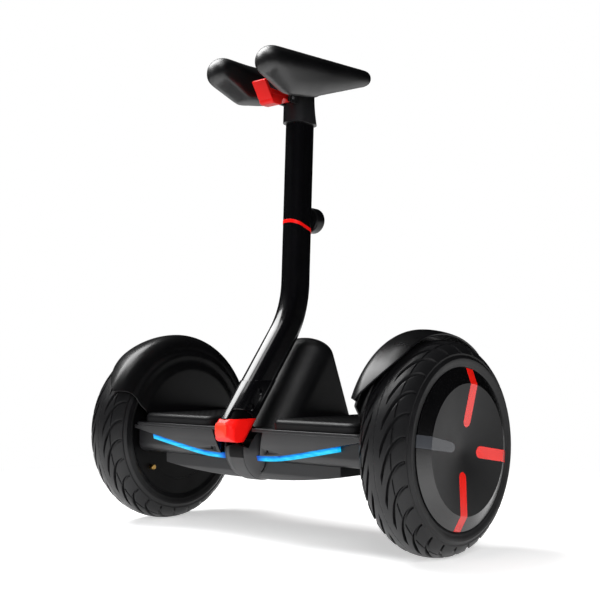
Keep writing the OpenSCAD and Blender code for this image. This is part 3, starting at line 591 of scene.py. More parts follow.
def softened(node: str, edge: float) -> Piece:
    """Copies a node of the frame and rounds its edges to a width."""
    obj = node_copy(node, f"{node}_skin")
    with editing(obj):
        bpy.ops.mesh.dissolve_limited(angle_limit=math.radians(0.4))
    return round_edges(obj, edge, 28)


def blended(
    node: str, name: str, cell: float, rounds: int,
    reshape: Callable[[Piece], None] | None = None, finer: int = 0,
) -> Piece:
    """Copies a node of the frame and melts its edges into a soft moulding.

    Args:
        node: Name of the node.
        name: Name of the copy.
        cell: Cell of the even mesh that replaces the node's own.
        rounds: Passes of smoothing.
        reshape: Changes the even mesh before it is smoothed.
        finer: Levels of subdivision afterwards.

    Returns:
        The copy.
    """
    obj = node_copy(node, name)
    modify(obj, "REMESH", mode="VOXEL", voxel_size=cell)
    if reshape:
        reshape(obj)
    modify(obj, "SMOOTH", factor=0.5, iterations=rounds)
    if finer:
        modify(obj, "SUBSURF", levels=finer, render_levels=finer)
    return smooth(obj, 60)


def cut_out(obj: Piece, cutter: Piece) -> Piece:
    """Cuts one object's form out of another, which is returned."""
    modify(obj, "BOOLEAN", operation="DIFFERENCE", object=cutter, solver="EXACT")
    bpy.data.objects.remove(cutter, do_unlink=True)
    return obj


def split_off(obj: Piece, name: str, test: FaceTest) -> Piece:
    """Takes some faces off an object as an object of their own.

    Args:
        obj: The object that loses the faces.
        name: Name of the new object.
        test: Tells for each face whether it goes.

    Returns:
        The new object.
    """
    with editing(obj):
        choose(obj, test)
        bpy.ops.mesh.separate(type="SELECTED")
    taken = next(other for other in bpy.context.selected_objects if other is not obj)
    taken.name = taken.data.name = name
    return taken


def attach(obj: Piece, body: str, finish: Finish) -> Piece:
    """Gives a piece its finish and lets it ride on a body.

    Args:
        obj: The piece.
        body: The body that it rides on.
        finish: Its finish.

    Returns:
        The same piece.
    """
    obj.data.materials.clear()
    obj.data.materials.append(finish.material())
    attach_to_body(obj, body)
    LOG.info("%s rides on %s, %d faces", obj.name, body, len(obj.data.polygons))
    return obj


def dress(obj: Piece, node: str, finish: Finish | None = None) -> Piece:
    """Lets a piece stand for a node of the frame.

    Args:
        obj: The piece.
        node: The node that it replaces.
        finish: Its finish; that of the node's slot when left out.

    Returns:
        The same piece.
    """
    attach(obj, BODY_OF[node], finish or BY_SLOT[SLOT_OF[node]])
    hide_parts(node)
    return obj


def rounded(corners: Sequence[Triple], steps: int = 6) -> list[Point]:
    """Rounds the corners of a polygon.

    Args:
        corners: Each corner's two coordinates and its radius.
        steps: Points on each rounded corner, less one.

    Returns:
        The outline's points.
    """
    outline: list[Point] = []
    for index, (a, b, radius) in enumerate(corners):
        here = Vector((a, b))
        before = (Vector(corners[index - 1][:2]) - here).normalized()
        after = (Vector(corners[(index + 1) % len(corners)][:2]) - here).normalized()
        if radius <= 0:
            outline.append((a, b))
            continue
        half = before.angle(after) / 2
        reach = radius / math.tan(half)
        centre = here + (before + after).normalized() * (radius / math.sin(half))
        start = (here + before * reach - centre).normalized()
        end = (here + after * reach - centre).normalized()
        outline += [tuple(centre + start.slerp(end, step / steps) * radius) for step in range(steps + 1)]
    return outline


def loop(name: str, outline: Sequence[Point], place: Place) -> Piece:
    """Makes a closed loop of edges.

    Args:
        name: Name of the object.
        outline: Points of the loop in two coordinates.
        place: Turns the two coordinates into a place.

    Returns:
        The loop as an object.
    """
    obj = added(bpy.ops.mesh.primitive_circle_add, name, vertices=len(outline))
    for vertex, point in zip(obj.data.vertices, outline):
        vertex.co = place(*point)
    return obj


def slab(name: str, outline: Sequence[Point], place: Place, depth: Vector, edge: float = 0.0) -> Piece:
    """Extrudes a filled outline and rounds its edges.

    Args:
        name: Name of the piece.
        outline: Points of the outline in two coordinates.
        place: Turns the two coordinates into a place.
        depth: The way and the length of the extrusion.
        edge: Width of the rounding; none when left out.

    Returns:
        The finished piece.
    """
    obj = loop(name, outline, place)
    with editing_edges(obj):
        bpy.ops.mesh.edge_face_add()
        bpy.ops.mesh.extrude_region_move(TRANSFORM_OT_translate={"value": depth})
        bpy.ops.mesh.select_all(action="SELECT")
        bpy.ops.mesh.normals_make_consistent(inside=False)
    return round_edges(obj, edge) if edge else smooth(obj)


def lathe(name: str, outline: Sequence[Point], foot: Vector, axis: Vector, steps: int = 32) -> Piece:
    """Spins a closed outline about an axis.

    Args:
        name: Name of the piece.
        outline: Points as distance from the axis and height along it.
        foot: Where the axis starts.
        axis: The axis's direction.
        steps: Faces around the axis.

    Returns:
        The finished piece.
    """
    axis = axis.normalized()
    spoke = axis.orthogonal().normalized()
    obj = loop(name, outline, lambda r, h: foot + spoke * r + axis * h)
    with editing_edges(obj):
        bpy.ops.mesh.spin(steps=steps, angle=2 * math.pi, center=foot, axis=axis)
    close_up(obj)
    return smooth(obj)


def drilled(obj: Piece, radius: float, depth: float, foot: Vector, axis: Vector, steps: int) -> Piece:
    """Drills a round hole into an object.

    Args:
        obj: The object that is drilled.
        radius: Radius of the hole.
        depth: Length of the drill.
        foot: Middle of the hole's floor.
        axis: The way out of the hole.
        steps: Faces around the hole.

    Returns:
        The same object.
    """
    drill = lathe("drill", [(0, 0), (radius, 0), (radius, depth), (0, depth)], foot, axis, steps)
    return cut_out(obj, drill)


def grid(name: str, columns: int, points: Sequence[Triple]) -> Piece:
    """Makes a grid of faces and puts its vertices in place.

    Args:
        name: Name of the object.
        columns: Vertices in each row.
        points: One place for each vertex, row by row.

    Returns:
        The grid as an object.
    """
    rows = len(points) // columns
    obj = added(bpy.ops.mesh.primitive_grid_add, name, x_subdivisions=columns - 1, y_subdivisions=rows - 1)
    obj.data.vertices.foreach_set("co", np.array(points, dtype=np.float32).ravel())
    obj.data.update()
    return obj


def middle_of(node: str) -> Vector:
    """Finds the middle of a node's box."""
    low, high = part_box(node)
    return (low + high) / 2


@dataclass(frozen=True)
class Column:
    """One column of the tread's grid.

    Attributes:
        groove: The groove of its pitch that it belongs to, 0 or 1.
        offset: Its distance from the groove's middle.
        share: Its share of the way to the next groove.
        depth: Its share of the groove's depth.
    """

    groove: int
    offset: float
    share: float
    depth: float


@dataclass
class Tyre:
    """Air-filled tyre with curved tread grooves.

    Attributes:
        side: The wheel's side.
        pitches: Groove pairs around the tread.
        crown: Radius of the arc over the middle of the section.
        crown_half: Half the width of that arc.
        groove_width: Width of a groove.
        groove_depth: Depth of a groove.
        groove_form: Profile of a groove: places in half widths and shares of its depth.
        groove_end: Distance of a groove's inner end from the middle.
        groove_fade: Length over which a groove's ends rise.
        gap_shares: Shares of the way between two grooves at which columns lie.
        shoulder: Distance of a groove's outer end from the middle.
        overrun: How far a groove fades out past the shoulder.
        sweep: How far a groove would run around the tyre from the shoulder to the middle.
        sweep_power: Power of a groove's curve.
        widest: Most that a slanting groove is widened along the tyre.
        ring_at: Distance of the ring groove from the middle.
        ring_half: Half the width of the ring groove.
        ring_depth: Depth of the ring groove.
        ring_rows: Distances from the ring groove's middle to the rows beside it.
        seam_half: Half the width of the mould seam.
        seam_depth: Depth of the mould seam.
        seam_waves: Waves of the mould seam for each radian.
        seam_rows: Distances of the rows beside the mould seam from the middle.
        tread_edge: Distance of the tread's edge from the middle.
        row_step: Largest step between rows on the tread.
        row_gap: Least distance between an even row and those of the ring groove.
        step: Width and height of the step that closes the tread.
        wall_start: Share of the side wall above its first row.
        wall_flat: Share of the side wall down to its widest place.
        wall_power: Power of the side wall's curve below that place.
        wall_rows: Rows on the side wall.
        wall_ring: Place, width and height of the raised ring on the side wall.
        bead_r: Radius at which the side wall meets the rim.
        bead_s: Distance of that edge from the middle.
        bead_h: Height of the bead.
        bead_w: Width of the bead.
        bead_dip: Depth of the channel between the beads.
        middle: Middle of the tyre.
        radius: Radius of the tyre.
        half: Half the width of the tyre.
        shoulder_arc: Radius of the arcs beside the crown.
        shoulder_at: Distance of such an arc's centre from the middle, and its radius about the axle.
    """

    side: Side
    pitches: int = 27
    crown: float = 58 * MM
    crown_half: float = 14 * MM
    groove_width: float = 3.8 * MM
    groove_depth: float = 4.0 * MM
    groove_form: Sequence[Point] = (
        (-1.5, 0.0), (-1.0, 0.08), (-0.62, 1.0), (0.0, 1.0), (0.62, 1.0), (1.0, 0.08), (1.5, 0.0),
    )
    groove_end: float = 8 * MM
    groove_fade: float = 1 * MM
    gap_shares: Sequence[float] = (0.2, 0.4, 0.6, 0.8)
    shoulder: float = 31 * MM
    overrun: float = 0.7 * MM
    sweep: float = 81 * MM
    sweep_power: float = 1.7
    widest: float = 3.0
    ring_at: float = 20.5 * MM
    ring_half: float = 0.7 * MM
    ring_depth: float = 1.7 * MM
    ring_rows: Triple = (0.6 * MM, 0.9 * MM, 1.3 * MM)
    seam_half: float = 0.4 * MM
    seam_depth: float = 0.35 * MM
    seam_waves: float = 130.0
    seam_rows: Point = (0.3 * MM, 0.6 * MM)
    tread_edge: float = 32.5 * MM
    row_step: float = 1.5 * MM
    row_gap: float = 0.3 * MM
    step: Point = (0.4 * MM, 1.5 * MM)
    wall_start: float = 0.14
    wall_flat: float = 0.3
    wall_power: float = 1.6
    wall_rows: int = 16
    wall_ring: Triple = (0.72, 0.05, 0.45 * MM)
    bead_r: float = 91.2 * MM
    bead_s: float = 30.2 * MM
    bead_h: float = 5 * MM
    bead_w: float = 3 * MM
    bead_dip: float = 1 * MM
    middle: Vector = field(init=False)
    radius: float = field(init=False)
    half: float = field(init=False)
    shoulder_arc: float = field(init=False)
    shoulder_at: Point = field(init=False)

    def __post_init__(self) -> None:
        """Works out the section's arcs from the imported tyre's box."""
        low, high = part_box(self.side.of("tyre"))
        self.middle = (low + high) / 2
        self.radius = (high.z - low.z) / 2
        self.half = (high.x - low.x) / 2
        turn = math.asin(self.crown_half / self.crown)
        self.shoulder_arc = (self.half - self.crown_half) / (1 - math.sin(turn))
        inset = self.crown - self.shoulder_arc
        self.shoulder_at = (inset * math.sin(turn), self.radius - self.crown + inset * math.cos(turn))

    def tread_radius(self, s: float) -> float:
        """Works out the tread's radius at a distance from the middle plane."""
        if s <= self.crown_half:
            return self.radius - self.crown + math.sqrt(self.crown**2 - s**2)
        across, radius = self.shoulder_at
        return radius + math.sqrt(max(0.0, self.shoulder_arc**2 - (s - across) ** 2))

    def tread_rows(self) -> list[float]:
        """Lists the tread rows' distances from the middle, closer at the ring and the grooves' ends."""
        ring = [self.ring_at + turn * away for away in self.ring_rows for turn in (-1, 1)]
        inner, fade = self.groove_end, self.groove_fade
        even = [
            s for s in np.arange(0, self.tread_edge, self.row_step)
            if min(abs(s - at) for at in ring) > self.row_gap
        ]
        ends = (inner - fade, inner + fade, self.shoulder + self.overrun)
        return sorted({*self.seam_rows, *ring, *ends, *even})

    def wall(self, edge: float, top: float) -> list[Point]:
        """Works out the step at the tread's edge, the side wall and the bead.

        Args:
            edge: Distance of the tread's last row from the middle plane.
            top: Radius of that row.

        Returns:
            Distances from the middle plane and radii, from the tread inwards.
        """
        step_w, step_h = self.step
        points = [(edge + step_w * 1.25, top - step_h * 0.6), (edge + step_w, top - step_h)]
        ring_at, ring_w, ring_h = self.wall_ring
        for share in np.linspace(self.wall_start, 1, self.wall_rows):
            sink = max(0.0, (share - self.wall_flat) / (1 - self.wall_flat)) ** self.wall_power
            rise = min(1.0, (share - self.wall_start) / (self.wall_flat - self.wall_start))
            s = self.half - (self.half - self.bead_s) * sink - (1 - rise) * (self.half - edge - step_w)
            s += ring_h * math.exp(-((share - ring_at) / ring_w) ** 2)
            points.append((min(self.half, s), top + (self.bead_r - top) * share))
        inner = self.bead_r - self.bead_h
        channel = inner - self.bead_dip
        return points + [(self.bead_s - self.bead_w, inner), (self.bead_s / 2, channel), (0.0, channel)]

    def columns(self) -> list[Column]:
        """Lists one pitch's columns: two grooves, each with the gap that follows it."""
        unit = self.groove_width / 2
        edge = self.groove_form[-1][0] * unit
        found: list[Column] = []
        for groove in (0, 1):
            found += [Column(groove, at * unit, 0.0, depth) for at, depth in self.groove_form]
            found += [Column(groove, edge, share, 0.0) for share in self.gap_shares]
        return found

    def row(self, s: float, radius: float) -> list[Triple]:
        """Places one row of the grid around the tyre.

        Args:
            s: Distance from the middle plane.
            radius: Radius of the row before anything is cut into it.

        Returns:
            The row's points, of which the last closes it.
        """
        out = abs(s)
        on_tread = out <= self.tread_edge and radius > self.shoulder_at[1]
        reach = max(0.0, 1 - out / self.shoulder) if on_tread else 0.0
        lead = math.copysign(self.sweep * (1 - reach**self.sweep_power), -s) if on_tread or out else 0.0
        slope = self.sweep * self.sweep_power / self.shoulder * reach ** (self.sweep_power - 1)
        widen = min(self.widest, math.hypot(1, slope)) / self.radius
        rise = clamp((out - self.groove_end) / self.groove_fade)
        rise *= clamp((self.shoulder + self.overrun - out) / self.groove_fade)
        ring = self.ring_depth if on_tread and abs(out - self.ring_at) < self.ring_half else 0.0
        columns = self.columns()
        pitch = 2 * math.pi / self.pitches
        gap = pitch / 2 - 2 * columns[-1].offset * widen
        points = []
        for index in range(self.pitches * len(columns) + 1):
            turn, place = divmod(index, len(columns))
            column = columns[place]
            angle = (turn + column.groove / 2) * pitch + column.offset * widen + column.share * gap
            angle += lead / self.radius
            cut = seam = 0.0
            if on_tread and (column.groove == 0) == (s > 0):
                cut = self.groove_depth * rise * column.depth
            if on_tread and out < self.seam_half and math.cos(angle * self.seam_waves) > 0:
                seam = self.seam_depth
            r = radius - max(cut, ring, seam)
            around = Vector((s, -r * math.cos(angle), -r * math.sin(angle)))
            points.append(tuple(self.middle + around))
        return points

    def build(self) -> Piece:
        """Models the tyre as one closed grid."""
        tread = self.tread_rows()
        half = [(s, self.tread_radius(s)) for s in tread]
        half += self.wall(*half[-1])
        points = [point for s, radius in half[::-1] for point in self.row(-s, radius)]
        points += [point for s, radius in half for point in self.row(s, radius)]
        obj = grid(self.side.of("tyre_tread"), self.pitches * len(self.columns()) + 1, points)
        close_up(obj, 0.01 * MM)
        return smooth(obj, 38)

    def dress(self) -> None:
        """Builds the tyre and puts it in place of the plain one."""
        dress(self.build(), self.side.of("tyre"))


@dataclass
class WheelTrim:
    """Rim, covers, inlaid bars and valve of one wheel.

    Attributes:
        side: The wheel's side.
        edges: Width of the rounded edges for each stem.
        longer: How much further in the inlaid bars' inner ends reach, for each stem.
        valve_r: Radius of the valve's stem.
        thread: Depth of the valve's thread.
        thread_start: Share of the valve's length below the thread.
        thread_pitch: Share of the valve's length for each turn of the thread.
        ridges: Turns of the valve's thread.
        dish_r: Radius of the hub cover's dish.
        dish_edge: Distance of the dish's edge from the wheel's middle plane.
        dish_floor: Distance of the smooth dish's middle from that plane.
        dish_blend: Share of the dish over which its middle is rounded.
        cone_floor: Distance of the middle of the cover's own cone from that plane.
        bar_end: Radius of the inlaid bars' inner ends.
        bar_proud: How far the inlaid bars stand out of the dish.
    """

    side: Side
    edges: dict[str, float] = field(default_factory=lambda: {
        "hub_cover": 0.5 * MM, "red_inserts": 0.35 * MM, "smoke_insert": 0.35 * MM, "rim": 0.8 * MM,
        "motor_cover": 0.8 * MM,
    })
    longer: dict[str, float] = field(default_factory=lambda: {"red_inserts": 0.0, "smoke_insert": 8 * MM})
    valve_r: float = 3.85 * MM
    thread: float = 0.35 * MM
    thread_start: float = 0.14
    thread_pitch: float = 0.07
    ridges: int = 7
    dish_r: float = 77 * MM
    dish_edge: float = 42 * MM
    dish_floor: float = 31.5 * MM
    dish_blend: float = 0.12
    cone_floor: float = 27 * MM
    bar_end: float = 26 * MM
    bar_proud: float = 0.1 * MM

    def valve(self) -> Piece:
        """Models the threaded valve stem with its cap and nut."""
        low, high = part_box(self.side.of("valve_stem"))
        middle = (low + high) / 2
        length = high.x - low.x
        nut = (high.z - low.z) / 2
        foot = middle + X * self.side.value * length / 2
        stem = self.valve_r
        outline = [(0.0, 0.0), (nut, 0.0), (nut, length * 0.08), (stem, length * 0.1)]
        for ridge in range(self.ridges):
            start = length * (self.thread_start + self.thread_pitch * ridge)
            outline += [(stem, start), (stem - self.thread, start + length * self.thread_pitch / 2)]
        outline += [(stem, length * 0.66), (stem, length * 0.95), (stem * 0.8, length), (0.0, length)]
        return lathe(self.side.of("valve_thread"), outline, foot, -X * self.side.value, 24)

    def dish_s(self, radius: float) -> float:
        """Works out the dish's distance from the wheel's middle plane at a radius."""
        part = math.hypot(radius / self.dish_r, self.dish_blend) - math.hypot(1, self.dish_blend)
        return self.dish_edge + (self.dish_edge - self.dish_floor) * part

    def dish(self, middle: Vector) -> Piece:
        """Models the smooth dish that lies over the hub cover's own."""
        outline = [(r, self.dish_s(r)) for r in np.linspace(0, self.dish_r, 24)]
        outline += [(self.dish_r, self.dish_edge - 1 * MM), (0.0, self.dish_floor - 3 * MM)]
        return lathe(self.side.of("hub_dish"), outline, middle, X * self.side.value, 128)

    def lay_in(self, bars: Piece, middle: Vector, longer: float) -> None:
        """Lays inlaid bars into the smooth dish.

        Args:
            bars: The bars, cut to the cover's own cone.
            middle: Middle of the wheel.
            longer: How much further in the bars' inner ends reach.
        """
        for vertex in bars.data.vertices:
            away = vertex.co - middle
            radius = math.hypot(away.y, away.z)
            if radius >= self.dish_r:
                continue
            cone = self.cone_floor + (self.dish_edge - self.cone_floor) * radius / self.dish_r
            inner = max(0.0, 1 - (radius - self.bar_end) / (self.dish_r - self.bar_end))
            keep = 1 - longer * inner / radius
            out = self.dish_s(radius * keep) - cone + self.bar_proud
            vertex.co = middle + Vector((away.x + self.side.value * out, away.y * keep, away.z * keep))

    def dress(self) -> None:
        """Puts the softened pieces in place."""
        middle = middle_of(self.side.of("tyre"))
        cover = self.side.of("hub_cover")
        attach(self.dish(middle), BODY_OF[cover], DISH)
        for stem, edge in self.edges.items():
            node = self.side.of(stem)
            piece = softened(node, edge)
            if stem in self.longer:
                self.lay_in(piece, middle, self.longer[stem])
            dress(piece, node, INLAY if stem == "red_inserts" else None)
        dress(self.valve(), self.side.of("valve_stem"))


@dataclass
class Fender:
    """Thin shell that wraps the top of one wheel and stands on the deck.

    Attributes:
        side: The wheel's side.
        radius: Radius of the crown.
        lip_x: Distance of the outer lip from the scooter's middle.
        corner: Radius of the outer lip's corners, seen from above.
        reach: Distance of the crown's ends from the axle, seen from above.
        shoulder: Radius of the turn from the crown to the wall.
        steepest: Largest sine of the angle at which the lip may lie on the shoulder.
        dip: Radius of the crown's arc from the shoulder to the lip.
        wall_x: Distance of the wall from the scooter's middle.
        cut: Place of the middle of the round that ends the wall, from the axle.
        cut_r: Radius of that round.
        thickness: Thickness of the shell.
        edge: Width of the rounded edges.
        swells: Soft steps of the wall towards the middle: outer radius, width and height of each.
        columns: Vertices along the arc.
        crown_rows: Rows from the lip round the shoulder.
        wall_rows: Rows down the wall.
    """

    side: Side
    radius: float = 141 * MM
    lip_x: float = 249 * MM
    corner: float = 58 * MM
    reach: float = 131 * MM
    shoulder: float = 22 * MM
    steepest: float = 0.95
    dip: float = 90 * MM
    wall_x: float = 197 * MM
    cut: Point = (122 * MM, 18 * MM)
    cut_r: float = 43 * MM
    thickness: float = 2.6 * MM
    edge: float = 0.9 * MM
    swells: Sequence[Triple] = ((119 * MM, 8 * MM, 5 * MM), (103 * MM, 13 * MM, 4 * MM))
    columns: int = 97
    crown_rows: int = 34
    wall_rows: int = 44

    def wall_relief(self, radius: float) -> float:
        """Works out how far the wall stands out at a radius."""
        total = 0.0
        for outer, width, height in self.swells:
            part = clamp((outer - radius) / width)
            total += height * part * part * (3 - 2 * part)
        return total

    def end_angle(self, radius: float) -> float:
        """Works out the angle from upright at which a ring of the shell ends.

        Args:
            radius: Radius of the ring about the axle.

        Returns:
            The angle, on the level front edge or on the round below it.
        """
        across, up = self.cut
        edge_z = up + self.cut_r
        if radius**2 >= across**2 + edge_z**2:
            return math.acos(edge_z / radius)
        away = math.hypot(across, up)
        along = (radius**2 - self.cut_r**2 + away**2) / (2 * away)
        off = math.sqrt(max(0.0, radius**2 - along**2))
        return math.asin((along * across - off * up) / away / radius)

    def crown_point(self, across: float, along: float) -> Triple:
        """Places one point of the right-hand shell between its lip and the foot of its shoulder.

        Args:
            across: 0 at the lip to 1 at the shoulder's foot.
            along: -1 at the front end to 1 at the rear end.

        Returns:
            Distance from the scooter's middle, distance to the rear of the axle, height above the axle.
        """
        turn_x, low_r = self.wall_x + self.shoulder, self.radius - self.shoulder
        rear = self.radius * math.sin(along * self.end_angle(self.radius))
        past = max(0.0, abs(rear) - (self.reach - self.corner))
        lip = self.lip_x - self.corner + math.sqrt(max(0.0, self.corner**2 - past**2))
        level = max(0.0, lip - turn_x)
        first = math.asin(min(self.steepest, max(0.0, turn_x - lip) / self.shoulder))
        run = across * (level + self.shoulder * (math.pi / 2 - first))
        if run < level:
            x = lip - run
            radius = self.radius - self.dip + math.sqrt(self.dip**2 - (x - turn_x) ** 2)
        else:
            turn = first + (run - level) / self.shoulder
            x, radius = turn_x - self.shoulder * math.sin(turn), low_r + self.shoulder * math.cos(turn)
        angle = along * self.end_angle(radius)
        return x, radius * math.sin(angle), radius * math.cos(angle)

    def wall_point(self, down: float, along: float, floor: float) -> Triple:
        """Places one point of the right-hand shell's wall.

        Args:
            down: 0 at the shoulder's foot to 1 at the deck.
            along: -1 at the front end to 1 at the rear end.
            floor: Height of the deck above the axle.

        Returns:
            Distance from the scooter's middle, distance to the rear of the axle, height above the axle.
        """
        low_r = self.radius - self.shoulder
        end = self.end_angle(low_r)
        first = Vector((low_r * math.sin(end), low_r * math.cos(end)))
        middle = Vector(self.cut)
        start = math.atan2(first.y - middle.y, first.x - middle.x)
        stop = math.pi - math.asin((floor - middle.y) / self.cut_r)
        turn = start + (stop - start) * down
        edge = middle + self.cut_r * Vector((math.cos(turn), math.sin(turn)))
        foot = middle + self.cut_r * Vector((math.cos(stop), math.sin(stop)))
        straight = first.lerp(Vector((foot.x, floor)), down)
        y = low_r * math.sin(along * end) * (1 - down) + foot.x * along * down
        z = low_r * math.cos(along * end) * (1 - down) + floor * down
        pull = abs(along) ** 4
        y += math.copysign(pull * (edge.x - straight.x), along)
        z += pull * (edge.y - straight.y)
        return self.wall_x - self.wall_relief(math.hypot(y, z)), y, z

    def build(self) -> Piece:
        """Models the shell as a grid and gives it thickness."""
        axle = middle_of(self.side.of("tyre"))
        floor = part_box("deck")[1].z - axle.z
        ends = np.linspace(-1, 1, self.columns)
        down_wall = np.linspace(0, 1, self.wall_rows)[1:]
        over_crown = np.linspace(0, 1, self.crown_rows)
        points = [self.crown_point(row, along) for row in over_crown for along in ends]
        points += [self.wall_point(row, along, floor) for row in down_wall for along in ends]
        placed = [(x * self.side.value, axle.y + y, axle.z + z) for x, y, z in points]
        obj = grid(self.side.of("fender_shell"), self.columns, placed)
        with editing(obj):
            bpy.ops.mesh.normals_make_consistent(inside=False)
        if max(obj.data.polygons, key=lambda face: face.center.z).normal.z < 0:
            with editing(obj):
                bpy.ops.mesh.flip_normals()
        modify(obj, "SOLIDIFY", thickness=self.thickness, offset=-1.0)
        return smooth(bevel(obj, self.edge, 50), 45)

    def dress(self) -> None:
        """Builds the shell and puts it in place of the plain one."""
        dress(self.build(), self.side.of("fender"))


@dataclass
class Footpad:
    """Rubber pad with staggered rows of studs, whose tops are level with its own.

    Attributes:
        side: The pad's side.
        corner: Radius of the pad's corners.
        edge: Width of the rounded edges.
        sink: How far the pad reaches into the deck.
        border: Smooth border around the studs.
        stud: Radius of a stud.
        stud_h: Height of a stud.
        spacing: Distance between studs.
        reach: How much further in the pad reaches than its plain form.
    """

    side: Side
    corner: float = 12 * MM
    edge: float = 6 * MM
    sink: float = 0.5 * MM
    border: float = 12 * MM
    stud: float = 3.2 * MM
    stud_h: float = 1.3 * MM
    spacing: float = 10.5 * MM
    reach: float = 6 * MM

    def studs(self, low: Vector, high: Vector) -> Piece:
        """Models one stud and repeats it in staggered rows.

        Args:
            low: Least corner of the pad.
            high: Greatest corner of the pad.

        Returns:
            All the studs as one object.
        """
        step = self.spacing
        rows = int((high.y - low.y - 2 * self.border) / step)
        columns = int((high.x - low.x - 2 * self.border) / step)
        middle = (low + high) / 2
        left, front = middle.x - columns * step / 2, middle.y - rows * step / 2
        start = Vector((left, front, high.z - self.stud_h * 1.5))
        size = {"radius1": self.stud, "radius2": self.stud * 0.6, "depth": self.stud_h}
        sets = []
        for shift, fewer in ((0.0, 0), (0.5, 1)):
            obj = added(bpy.ops.mesh.primitive_cone_add, "stud", vertices=8, **size)
            obj.data.transform(Matrix.Translation(start + Vector((shift, shift, 0)) * step))
            for count, way in ((columns, X), (rows, Y)):
                modify(obj, "ARRAY", count=count + 1 - fewer, use_relative_offset=False,
                       use_constant_offset=True, constant_offset_displace=way * step)
            sets.append(obj)
        return smooth(join(self.side.of("footpad_studs"), sets), 30)

    def build(self) -> Piece:
        """Models the pad with its studs."""
        low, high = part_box(self.side.of("footpad"))
        if self.side is Side.RIGHT:
            low.x -= self.reach
        else:
            high.x += self.reach
        foot, top = low.z - self.sink, high.z - self.stud_h
        corners = [(low.x, low.y), (high.x, low.y), (high.x, high.y), (low.x, high.y)]
        outline = rounded([(*corner, self.corner) for corner in corners])
        pad = slab("footpad", outline, lambda a, b: Vector((a, b, foot)), Z * (top - foot))
        with editing(pad):
            choose(pad, lambda face: face.normal.z > 0.9)
            bpy.ops.mesh.select_mode(type="EDGE")
            bpy.ops.mesh.region_to_loop()
            bpy.ops.mesh.bevel(offset=self.edge, segments=6, affect="EDGES")
        modify(smooth(pad, 40), "WEIGHTED_NORMAL", keep_sharp=True)
        return join(self.side.of("footpad_rubber"), [pad, self.studs(low, high)])

    def dress(self) -> None:
        """Builds the pad and puts it in place of the plain one."""
        dress(self.build(), self.side.of("footpad"))


